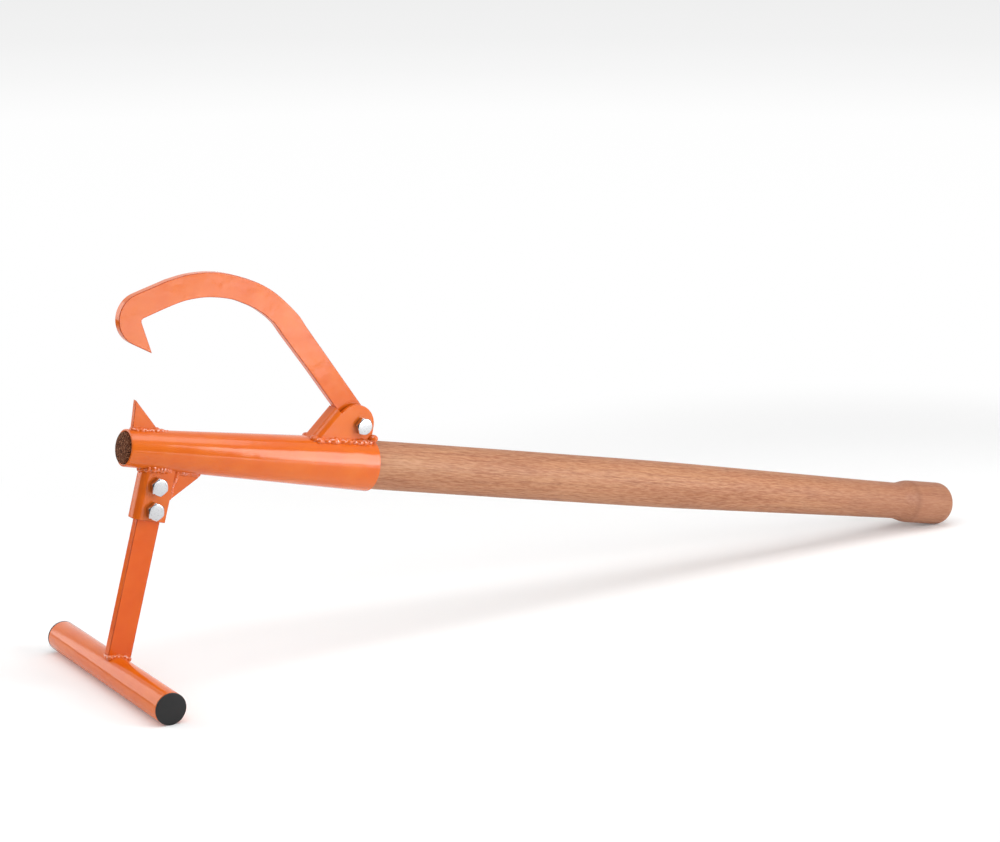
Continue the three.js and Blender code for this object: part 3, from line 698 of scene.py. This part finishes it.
def makeLegBar():
    z = legSizes
    foot = z["footRadius"] + z["seatGap"]
    top = legAxisHeight - z["boltDrop"] + z["headroom"]
    half = z["width"] / 2
    outline = [(-half, foot), (half, foot), (half, top), (-half, top)]
    # the bar takes the enamel copy with painted shade
    dress(plateFrom("leg_flat_bar", outline, z["thickness"], z["edge"], toRow @ legFrame, shadedBarEnamel),
          shadedBarEnamel, "leg_bar")


gussetSizes = {"thickness": 10.0, "reach": 86.8, "toe": 3.1, "depth": 55.0, "edge": 0.8, "bury": 1.6}


def makeGusset():
    z = gussetSizes
    front = legSizes["width"] / 2 + legSizes["seatGap"]
    toe = legFrame @ Vector((front, 0, legAxisHeight - z["depth"]))
    top = legFrame @ Vector((front, 0, copedHeight(front, 0, z["bury"])))
    rear = socketRadius(z["reach"])
    outline = [(toe.x, toe.z), (z["reach"], -rear - z["toe"]), (z["reach"], -rear + z["bury"]),
               (top.x, top.z)]
    dress(plateFrom("leg_gusset_plate", outline, z["thickness"], z["edge"]),
          enamel, "leg_gusset")


spikeSizes = {
    "thickness": 6.0, "front": 5.0, "tip": (3.9, 50.2), "foot": 29.5, "edge": 0.7, "bury": 1.2,
}


def makeSpike():
    z = spikeSizes
    front, rear = z["front"], z["front"] + z["foot"]
    outline = [(front, socketRadius(front) - z["bury"]), (rear, socketRadius(rear) - z["bury"]),
               (rear, socketRadius(rear)), z["tip"], (front, socketRadius(front))]
    dress(plateFrom("spike_plate", outline, z["thickness"], z["edge"]), enamel, "spike")


hookBracketSizes = {
    "gap": 15.6, "leanDeg": 35.6, "webReach": 57.1, "webLength": 68.0, "earRadius": 22.1,
    "earOffset": 8.0, "rest": 0.3, "bury": 3.2,
}


def hookBracketOutline():
    z = hookBracketSizes
    pivot = Vector(hookSizes["pivot"])
    footS = pivot.x - z["webReach"]
    foot = Vector((footS, socketRadius(footS)))
    lean = math.radians(z["leanDeg"])
    webUp = Vector((math.sin(lean), math.cos(lean)))
    shankTop = hookPoint(hookSizes["bendShare"])
    shankAlong = (hookShankEnd() - shankTop).normalized()
    shankOut = Vector((shankAlong.y, -shankAlong.x))
    # the web runs up from its foot until it meets the shank's lower edge
    rise = (shankTop + shankOut * z["rest"] - foot).dot(shankOut) / webUp.dot(shankOut)
    webTop = foot + webUp * rise
    notch = webTop + shankAlong * bracketSizes["bend"]
    ear = Vector((pivot.x - z["earOffset"], pivot.y))
    earStart = touchPoint(notch, ear, z["earRadius"], 1)
    low = socketRadius(footS) - z["bury"]
    points = [foot + webUp * ((low - foot.y) / webUp.y), webTop, notch]
    points += arc(ear, z["earRadius"], earStart, 0.0, 28, clockwise=True)
    rear = ear.x + z["earRadius"]
    points.append(Vector((rear, socketRadius(rear) - z["bury"])))
    return points


def makeHookBracket():
    z = hookBracketSizes
    footS = hookSizes["pivot"][0] - z["webReach"]
    bent = extruded("hook_bracket_channel", channelSection(z["gap"], z["webReach"] + z["earRadius"]),
                    lambda x, y: -z["webLength"], lambda x, y: z["webLength"])
    bent.data.transform(
        Matrix.Translation((footS, 0, socketRadius(footS)))
        @ Matrix.Rotation(math.radians(z["leanDeg"]), 4, "Y"))
    # the channel is trimmed to the shape that the bracket has from the side
    outline = hookBracketOutline()
    reach = z["gap"] * 2
    side = prism("hook_bracket_side", [(p.x, -reach, p.y) for p in outline],
                 [(p.x, reach, p.y) for p in outline])
    trim = bent.modifiers.new("trim", "BOOLEAN")
    trim.operation = "INTERSECT"
    trim.solver = "EXACT"
    trim.object = side
    bake("hook_bracket_channel", bent, Matrix.Identity(4))
    bpy.data.objects.remove(side)
    turnOut(bent, 0.001, 0.5)
    dress(bevelled("hook_bracket_channel", bent, bracketSizes["edge"]), enamel, "hook_bracket")


makeLegBracket()
makeLegBar()
makeGusset()
makeSpike()
makeHookBracket()
print("brackets, leg, gusset and spike made")


# foot tube and its plugs

plugSizes = {"flange": 2.0, "stem": 16.0, "wall": 2.0, "round": 0.9}
footPlace = across(legSizes["footStation"], -legSizes["drop"])


def makeFootTube():
    z = legSizes
    half, outer, wall = z["footLength"] / 2, z["footRadius"], z["footWall"]
    loop = [(0, outer), (half, outer), (half, outer - wall), (-half, outer - wall), (-half, outer),
            (0, outer)]
    dress(turnedPiece("foot_tube", eased(loop, z["footEdge"]), enamel, footPlace, sides=120),
          enamel, "cross_tube")


def makePlug(name, node, way):
    z = plugSizes
    seat = legSizes["footLength"] / 2 + legSizes["seatGap"]
    face = seat + z["flange"]
    outer = legSizes["footRadius"]
    stem = outer - legSizes["footWall"] - legSizes["seatGap"]
    profile = [(seat, 0), (seat, stem - z["wall"]), (seat - z["stem"], stem - z["wall"]),
               (seat - z["stem"], stem), (seat, stem), (seat, outer), (face, outer), (face, 0)]
    rounded = eased(profile, z["round"], keep=(1, 2, 4))
    place = footPlace @ Matrix.Rotation(0 if way > 0 else math.pi, 4, "Z")
    dress(turnedPiece(name, rounded, plugPlastic, place, sides=96), plugPlastic, node)


makeFootTube()
makePlug("foot_plug_far", "end_plug_far", 1)
makePlug("foot_plug_near", "end_plug_near", -1)
print("foot tube and plugs made")


# bolts, lock nuts and their rings

boltSizes = {
    "radius": 5.0, "flats": 17.0, "headHeight": 6.4, "nutHeight": 6.6, "collarHeight": 3.2,
    "collarRadius": 7.6, "ringRadius": 6.5, "pitch": 1.5, "depth": 0.92, "threadLength": 10.0,
    "runOut": 0.6, "point": 0.9, "seatGap": 0.3, "faceShare": 0.95, "chamferDeg": 30.0, "step": 0.06,
    # small edges as offsets along and out from the corner that they round
    "underHead": [(-0.35, 0.0), (-0.05, -0.5), (0.0, -1.0)],
    "collarFoot": [(0.15, 0.1), (0.5, 0.0)],
    "collarTop": [(-0.9, 0.0), (-0.35, -0.25), (-0.05, -0.6)],
    "nutMouth": [(3.0, 0.0), (0.6, 0.0), (0.0, 0.5)], "ringRound": 0.3,
}

# how long each bolt is under its head, and how far its hexagon is turned in degrees
boltFits = {"hook": (40.0, 33.6), "leg_upper": (34.0, -14.0), "leg_lower": (34.0, -11.6)}


def makeFastener(label, s, h, width):
    z = boltSizes
    length, turnDeg = boltFits[label]
    gap, radius = z["seatGap"], z["radius"]
    corner = z["flats"] / 2 / math.cos(math.pi / 6) + 0.1
    face = z["flats"] / 2 * z["faceShare"]

    def chamfer(station, way, steps):
        # from the round face out to the corners of the hexagon
        slope = way * math.tan(math.radians(z["chamferDeg"]))
        rises = [(corner - face) * k / steps for k in range(steps + 1)]
        return [(station + rise * slope, face + rise) for rise in rises]

    def edge(station, out, offsets):
        return [(station + a, out + b) for a, b in offsets]

    seat = -width / 2 - gap
    top = seat - z["headHeight"]
    end = seat + length
    profile = [(top, 0.0), (top, face - 0.5)] + chamfer(top + z["step"], 1, 8)
    profile += edge(seat, corner, z["underHead"]) + [(seat, radius)]
    threadStart, threadEnd = end - z["threadLength"], end - z["point"]
    steps = int((threadEnd - threadStart) / (z["pitch"] / 8))
    profile.append((threadStart - z["runOut"], radius))
    for k in range(steps + 1):
        station = threadStart + (threadEnd - threadStart) * k / steps
        profile.append((station, radius, min(1.0, k / 6)))
    core = radius - z["depth"]
    profile += [(end - 0.2, core), (end, core - 0.4), (end, 0.0)]
    bolt = turnedPiece(f"{label}_hex_bolt", profile, zinc, across(s, h), 72, z["flats"], turnDeg,
                       z["pitch"], z["depth"], sharpDeg=28)
    dress(bolt, zinc, f"{label}_bolt")

    seat = width / 2 + gap
    top = seat + z["nutHeight"]
    crown = top + z["collarHeight"]
    bore, ring, collar = radius + gap, z["ringRadius"] + gap, z["collarRadius"]
    profile = edge(seat, bore, z["nutMouth"]) + chamfer(seat, 1, 6) + chamfer(top, -1, 6)[::-1]
    profile += edge(top, collar, z["collarFoot"]) + edge(crown, collar, z["collarTop"])
    profile += [(crown, ring + 0.2), (crown - 0.25, ring), (top, ring), (top, bore), profile[0]]
    nut = turnedPiece(f"{label}_lock_nut", profile, zinc, across(s, h), 72, z["flats"], sharpDeg=28)
    dress(nut, zinc, f"{label}_nut")

    low, high = top + gap, crown - gap
    outer = z["ringRadius"]
    loop = [((low + high) / 2, outer), (high, outer), (high, bore), (low, bore), (low, outer),
            ((low + high) / 2, outer)]
    insert = turnedPiece(f"{label}_nylon_ring", eased(loop, z["ringRound"]), ringNylon, across(s, h), 48)
    dress(insert, ringNylon, f"{label}_nut_insert")


hookBracketWidth = hookBracketSizes["gap"] + 2 * bracketSizes["wall"]
legBracketWidth = legSizes["thickness"] + 2 * (legSizes["seatGap"] + bracketSizes["wall"])
makeFastener("hook", *hookSizes["pivot"], hookBracketWidth)
for k, label in enumerate(("leg_upper", "leg_lower")):
    drop = legSizes["boltDrop"] + k * legSizes["boltSpacing"]
    centre = legFrame @ Vector((legSizes["boltSetbacks"][k], 0, legAxisHeight - drop))
    makeFastener(label, centre.x, centre.z, legBracketWidth)
print("bolts and nuts made")


# welds

beadShare = 0.9  # how long a bead is, as a share of the pitch


def weldRun():
    # a run of overlapping beads along a seam, each a flattened drop of its own size
    add, given, out = newTree("weld run", "Seed", "Radius", "Pitch", "Unevenness", "Slant")
    pitch, uneven, seed = (given.outputs[name] for name in ("Pitch", "Unevenness", "Seed"))
    seam = add("GeometryNodeMeshToCurve", {"Mesh": given.outputs["Geometry"]})
    spaced = add("GeometryNodeResampleCurve", {"Curve": seam, "Length": pitch}, mode="LENGTH")
    low, high = (add("ShaderNodeMath", {0: 1.0, 1: uneven}, operation=operation)
                 for operation in ("SUBTRACT", "ADD"))
    beadLength = add("ShaderNodeMath", {0: pitch, 1: beadShare}, operation="MULTIPLY")
    sizes = []
    for k, size in enumerate((beadLength, given.outputs["Radius"])):
        ownSeed = add("ShaderNodeMath", {0: seed, 1: float(k)}, operation="ADD")
        factor = add("FunctionNodeRandomValue", {2: low, 3: high, 8: ownSeed}, data_type="FLOAT")
        sizes.append(add("ShaderNodeMath", {0: size, 1: factor}, operation="MULTIPLY"))
    scale = add("ShaderNodeCombineXYZ", {0: sizes[0], 1: sizes[1], 2: sizes[1]})
    tangent = add("GeometryNodeInputTangent")
    aim = add("FunctionNodeAlignRotationToVector", {"Vector": tangent}, axis="X")
    lean = add("FunctionNodeRandomValue", {
        0: (-0.2, -0.25, -0.2), 1: (0.2, 0.25, 0.2), 8: seed}, data_type="FLOAT_VECTOR")
    slant = add("ShaderNodeCombineXYZ", {2: given.outputs["Slant"]})
    sway = add("ShaderNodeVectorMath", {0: lean, 1: slant}, operation="ADD")
    leant = add("FunctionNodeRotateRotation", {
        "Rotation": aim, "Rotate By": sway}, rotation_space="LOCAL")
    drop = add("GeometryNodeMeshIcoSphere", {"Radius": 1.0, "Subdivisions": 4})
    beads = add("GeometryNodeInstanceOnPoints", {
        "Points": spaced, "Instance": drop, "Rotation": leant, "Scale": scale})
    return closeTree(add, given, out, beads)


weldTree = weldRun()
weldSizes = {
    "voxel": 0.45,
    "spike": {"radius": 2.7, "pitch": 4.0, "uneven": 0.16, "slant": 0.5, "seed": 3,
              "inset": 1.4, "tail": 12.0, "sink": 2.6},
    "hook": {"radius": 4.2, "pitch": 6.4, "uneven": 0.22, "slant": 0.65, "seed": 11, "inset": 1.2,
             "overhang": 0.8, "rise": 4.5, "spread": 0.6, "frontSink": 3.2},
    "legBracket": {"radius": 3.8, "pitch": 3.4, "uneven": 0.3, "slant": 0.5, "seed": 23},
    "gusset": {"radius": 3.5, "pitch": 2.3, "uneven": 0.18, "slant": 0.5, "seed": 31, "inset": 1.0},
    "foot": {"radius": 3.1, "pitch": 4.2, "uneven": 0.2, "slant": 0.5, "seed": 43, "inset": 2.0},
}


def makeWeld(name, node, seam, kind, place=toRow):
    z = weldSizes[kind]
    source = looseObject(name, seam)
    applyTree(source, weldTree, {
        "Radius": z["radius"], "Pitch": z["pitch"], "Unevenness": z["uneven"], "Slant": z["slant"],
        "Seed": z["seed"], "Material": weldEnamel,
    })
    fuse = source.modifiers.new("fuse", "REMESH")
    fuse.mode = "VOXEL"
    fuse.voxel_size = weldSizes["voxel"]
    relax = source.modifiers.new("relax", "SMOOTH")
    relax.factor = 0.5
    relax.iterations = 2
    piece = bake(name, source, place)
    piece.data.shade_smooth()
    dress(piece, weldEnamel, node)


def bothSides(points):
    # a seam that runs in along the near side of the tool and out along the far side
    return [Vector((p.x, -p.y, p.z)) for p in points] + points[::-1]


def spikeSeam():
    z, plate = weldSizes["spike"], spikeSizes
    side = plate["thickness"] / 2
    front = plate["front"] + z["inset"]
    rear = plate["front"] + plate["foot"]
    tail = onSocket(rear + z["tail"], 0, 1) - Vector((0, 0, z["sink"]))
    return [tail] + bothSides([onSocket(rear, side, 1), onSocket(front, side, 1)]) + [tail]


def channelSeam(front, rear, width, side):
    half, bend = width / 2, bracketSizes["bend"]
    corner = bend * (1 - math.sqrt(0.5))
    return bothSides([
        onSocket(rear, half, side), onSocket(front + bend, half, side),
        onSocket(front + corner, half - corner, side), onSocket(front, half - bend, side)])


def hookBracketSeam():
    z, plate = weldSizes["hook"], hookBracketSizes
    front = hookSizes["pivot"][0] - plate["webReach"] + z["inset"]
    rear = hookSizes["pivot"][0] - plate["earOffset"] + plate["earRadius"] + z["overhang"]
    seam = channelSeam(front, rear - z["radius"], hookBracketWidth, 1)
    for i in (3, 4):
        seam[i] -= Vector((0, 0, z["frontSink"]))
    ends = [onSocket(rear, way * (hookBracketWidth / 2 + z["spread"]), 1) + Vector((0, 0, z["rise"]))
            for way in (-1, 1)]
    return [ends[0]] + seam + [ends[1]]


def legBracketStation(offset):
    return (legFrame @ Vector((offset, 0, legAxisHeight - socketSizes["mouthRadius"]))).x


def legBracketSeam():
    front = legBracketStation(-legSizes["width"] / 2 - legSizes["bracketPlay"] - bracketSizes["wall"])
    rear = legBracketStation(legSizes["width"] / 2) - weldSizes["legBracket"]["radius"]
    return channelSeam(front, rear, legBracketWidth, -1)


def gussetSeam():
    radius = weldSizes["gusset"]["radius"]
    side = gussetSizes["thickness"] / 2
    lip = legSizes["width"] / 2 + legSizes["bracketLip"]
    corner = legBracketStation(lip) + radius
    toe = legFrame @ Vector((lip, 0, legAxisHeight - gussetSizes["depth"] + 2 * radius))
    rear = gussetSizes["reach"] - weldSizes["gusset"]["inset"]
    return bothSides([
        Vector((toe.x, side, toe.z)), onSocket(corner, side, -1), onSocket(rear, side, -1)])


def footSeam():
    side = legSizes["thickness"] / 2
    reach = legSizes["width"] / 2 - weldSizes["foot"]["inset"]
    radius = legSizes["footRadius"]
    steps = 12

    def edge(y, way):
        line = []
        for i in range(steps + 1):
            x = way * reach * (2 * i / steps - 1)
            line.append(Vector((x, y, (radius + math.sqrt(radius ** 2 - x ** 2)) / 2)))
        return line

    loop = edge(-side, 1) + edge(side, -1)
    return loop + [loop[0]]


makeWeld("spike_bead", "spike_weld", spikeSeam(), "spike")
makeWeld("hook_bracket_bead", "hook_bracket_weld", hookBracketSeam(), "hook")
makeWeld("leg_bracket_bead", "leg_bracket_weld", legBracketSeam(), "legBracket")
makeWeld("gusset_bead", "gusset_weld", gussetSeam(), "gusset")
makeWeld("leg_foot_bead", "leg_foot_weld", footSeam(), "foot", toRow @ legFrame)
print("welds made")


# floor, light and camera

view = {
    "at": (-1.521008, -2.181126, 0.842601),
    "yaw": 0.578590235, "pitch": 0.234271689, "roll": 0.00200932539,
    "lens": 86.2047,
}

studio = {
    "floorHalf": 40.0, "paper": "#f6f6f6", "besidePaper": "#4a4a4c", "toolHalf": 0.58, "lift": 0.1,
    "fadeStart": 0.4, "fadeEnd": 0.85, "glossFadeStart": 2.0, "glossFadeEnd": 3.0, "farthest": 14.0,
    "farStops": [(0.0, "#ffffff"), (0.2, "#fefefe"), (0.34, "#f7f7f7"), (0.5, "#f2f2f2"),
                 (0.8, "#efefef"), (1.0, "#ebebed")],
    "paperCorner": -0.75, "cornerSoft": 0.3, "paperLeft": -0.74,
    "worldDiffuse": 0.32, "brightAzimuthDeg": 52.0, "ceiling": "#dadadc", "ceilingFrom": 0.35,
    "ceilingTo": 0.85,
    "wallStops": [(0.0, "#5a5a5c"), (0.35, "#6a6a6c"), (0.62, "#8a8a8c"), (0.75, "#b8b8ba"),
                  (0.87, "#ffffff")],
}

# width and height, place, aim and watts of each softbox
softboxes = {
    "overhead": ((3.0, 1.6), (-0.35, -0.38, 2.3), (-0.35, -0.38, 0.0), 34.0),
    "lower side": ((1.27, 0.65), (1.15, -1.68, 0.52), (-0.42, 0.0, 0.52), 17.0),
    "upper side": ((1.27, 0.95), (1.15, -1.68, 1.33), (-0.42, 0.0, 1.33), 20.0),
    "low": ((1.5, 1.1), (0.6, -1.78, 0.02), (0.6, -1.78, 1.0), 18.0),
    "back": ((2.0, 1.5), (-1.78, 1.25, 0.8), (-0.56, 0.0, 0.06), 18.0),
}


def rays(add, *kinds):
    # 1 where the ray is one of these kinds
    path = add("ShaderNodeLightPath")
    total = path.outputs[kinds[0]]
    for kind in kinds[1:]:
        total = add("ShaderNodeMath", {0: total, 1: path.outputs[kind]}, operation="MAXIMUM")
    return total


def makeFloor():
    # white paper lit by the lamps near the tool; far off it fades to the photo's pale grey.
    # Beside the paper the studio is dark, which only shows in reflections.
    z = studio
    half = z["floorHalf"]
    floor = looseObject("studio_floor", [(-half, -half, 0), (half, -half, 0), (half, half, 0),
                                         (-half, half, 0)], [(0, 1, 2, 3)])
    material, add, shader, _ = newMaterial("studio paper")
    at = add("ShaderNodeTexCoord").outputs["Object"]
    distance = add("ShaderNodeVectorMath", {0: at}, operation="LENGTH")
    far = add("ShaderNodeMapRange", {
        "Value": distance, "From Min": z["glossFadeEnd"], "From Max": z["farthest"]})
    tone = add("ShaderNodeValToRGB", {"Fac": far}, z["farStops"])
    glow = add("ShaderNodeEmission", {"Color": tone})
    # how far a point is from the line under the tool
    parts = add("ShaderNodeSeparateXYZ", {"Vector": at})
    sideways = add("ShaderNodeMath", {0: parts}, operation="ABSOLUTE")
    beyond = add("ShaderNodeMath", {0: sideways, 1: z["toolHalf"]}, operation="SUBTRACT")
    along = add("ShaderNodeMath", {0: beyond, 1: 0.0}, operation="MAXIMUM")
    flat = add("ShaderNodeCombineXYZ", {0: along, 1: parts.outputs["Y"]})
    beside = add("ShaderNodeVectorMath", {0: flat}, operation="LENGTH")
    fades = []
    for value, start, end, kinds in (
        (beside, "fadeStart", "fadeEnd", ["Is Camera Ray"]),
        (distance, "glossFadeStart", "glossFadeEnd", ["Is Glossy Ray", "Is Transmission Ray"]),
    ):
        fade = add("ShaderNodeMapRange", {
            "Value": value, "From Min": z[start], "From Max": z[end]}, interpolation_type="SMOOTHSTEP")
        fades.append(add("ShaderNodeMath", {0: fade, 1: rays(add, *kinds)}, operation="MULTIPLY"))
    share = add("ShaderNodeMath", {0: fades[0], 1: fades[1]}, operation="MAXIMUM")
    fill(shader, {"Base Color": linear(z["paper"]), "Roughness": 0.9, "Specular IOR Level": 0.1})
    lift = add("ShaderNodeEmission", {"Strength": add("ShaderNodeMath", {
        0: rays(add, "Is Camera Ray"), 1: z["lift"]}, operation="MULTIPLY")})
    lifted = add("ShaderNodeAddShader", {0: shader, 1: lift})
    shown = add("ShaderNodeMixShader", {0: share, 1: lifted, 2: glow})
    # past the paper's left edge, and past its corner to the left in front of the tool
    reach = add("ShaderNodeVectorMath", {
        0: at, 1: (math.sqrt(0.5), math.sqrt(0.5), 0)}, operation="DOT_PRODUCT")
    past, leftOf = (
        add("ShaderNodeMapRange", {
            "Value": value, "From Min": z[start], "From Max": z[start] - z["cornerSoft"]})
        for value, start in ((reach, "paperCorner"), (parts, "paperLeft")))
    outside = add("ShaderNodeMath", {0: past, 1: leftOf}, operation="MAXIMUM")
    off = add("ShaderNodeMath", {0: outside, 1: rays(add, "Is Glossy Ray")}, operation="MULTIPLY")
    dark = add("ShaderNodeBsdfDiffuse", {"Color": linear(z["besidePaper"])})
    final = add("ShaderNodeMixShader", {0: off, 1: shown, 2: dark})
    fill(material.node_tree.nodes["Material Output"], {"Surface": final})
    floor.data.materials.append(material)


def makeWorld():
    # an even pale light; in reflections the room is bright behind the tool and dim in front
    z = studio
    world = bpy.data.worlds.new("studio world")
    bpy.context.scene.world = world
    world.use_nodes = True
    add = partial(addNode, world.node_tree)
    bright = math.radians(z["brightAzimuthDeg"])
    direction = add("ShaderNodeTexCoord").outputs["Generated"]
    facing = add("ShaderNodeVectorMath", {
        0: direction, 1: (math.cos(bright), math.sin(bright), 0)}, operation="DOT_PRODUCT")
    turned = add("ShaderNodeMapRange", {"Value": facing, "From Min": -1.0, "From Max": 1.0})
    walls = add("ShaderNodeValToRGB", {"Fac": turned}, z["wallStops"])
    height = add("ShaderNodeSeparateXYZ", {0: direction}).outputs["Z"]
    ceiling = add("ShaderNodeMapRange", {
        "Value": height, "From Min": z["ceilingFrom"], "From Max": z["ceilingTo"]},
        interpolation_type="SMOOTHSTEP")
    room = add("ShaderNodeMix", {0: ceiling, 6: walls, 7: linear(z["ceiling"])}, data_type="RGBA")
    mirrored = rays(add, "Is Glossy Ray", "Is Transmission Ray")
    shown = add("ShaderNodeMix", {0: mirrored, 6: linear("#ffffff"), 7: room}, data_type="RGBA")
    fill(world.node_tree.nodes["Background"], {
        "Color": shown,
        "Strength": add("ShaderNodeMapRange", {
            "Value": rays(add, "Is Camera Ray", "Is Glossy Ray", "Is Transmission Ray"),
            "To Min": z["worldDiffuse"], "To Max": 1.0}),
    })


def makeSoftbox(name, size, at, aim, watts):
    lamp = bpy.data.lights.new(f"{name} softbox", "AREA")
    lamp.shape = "RECTANGLE"
    lamp.size, lamp.size_y = size
    lamp.energy = watts
    made = newObject(lamp.name, lamp)
    made.location = at
    made.rotation_euler = (Vector(aim) - Vector(at)).to_track_quat("-Z", "Y").to_euler()
    made.visible_camera = False


def makeCamera():
    # solved from the photo: looks yaw radians to the right of +Y and pitch radians down
    yaw, pitch, roll = view["yaw"], view["pitch"], view["roll"]
    ahead = Vector((math.sin(yaw) * math.cos(pitch), math.cos(yaw) * math.cos(pitch), -math.sin(pitch)))
    right = Vector((math.cos(yaw), -math.sin(yaw), 0))
    up = right.cross(ahead)
    rightRolled = right * math.cos(roll) + up * math.sin(roll)
    upRolled = up * math.cos(roll) - right * math.sin(roll)
    lens = bpy.data.cameras.new("photo camera")
    lens.lens = view["lens"]
    lens.sensor_width = 36
    lens.sensor_fit = "HORIZONTAL"
    made = newObject("photo camera", lens)
    basis = Matrix((rightRolled, upRolled, -ahead)).transposed().to_4x4()
    made.matrix_world = Matrix.Translation(view["at"]) @ basis
    bpy.context.scene.camera = made


makeFloor()
makeWorld()
for name, settings in softboxes.items():
    makeSoftbox(name, *settings)
makeCamera()
bpy.context.scene.view_settings.view_transform = "Standard"
print("studio made")
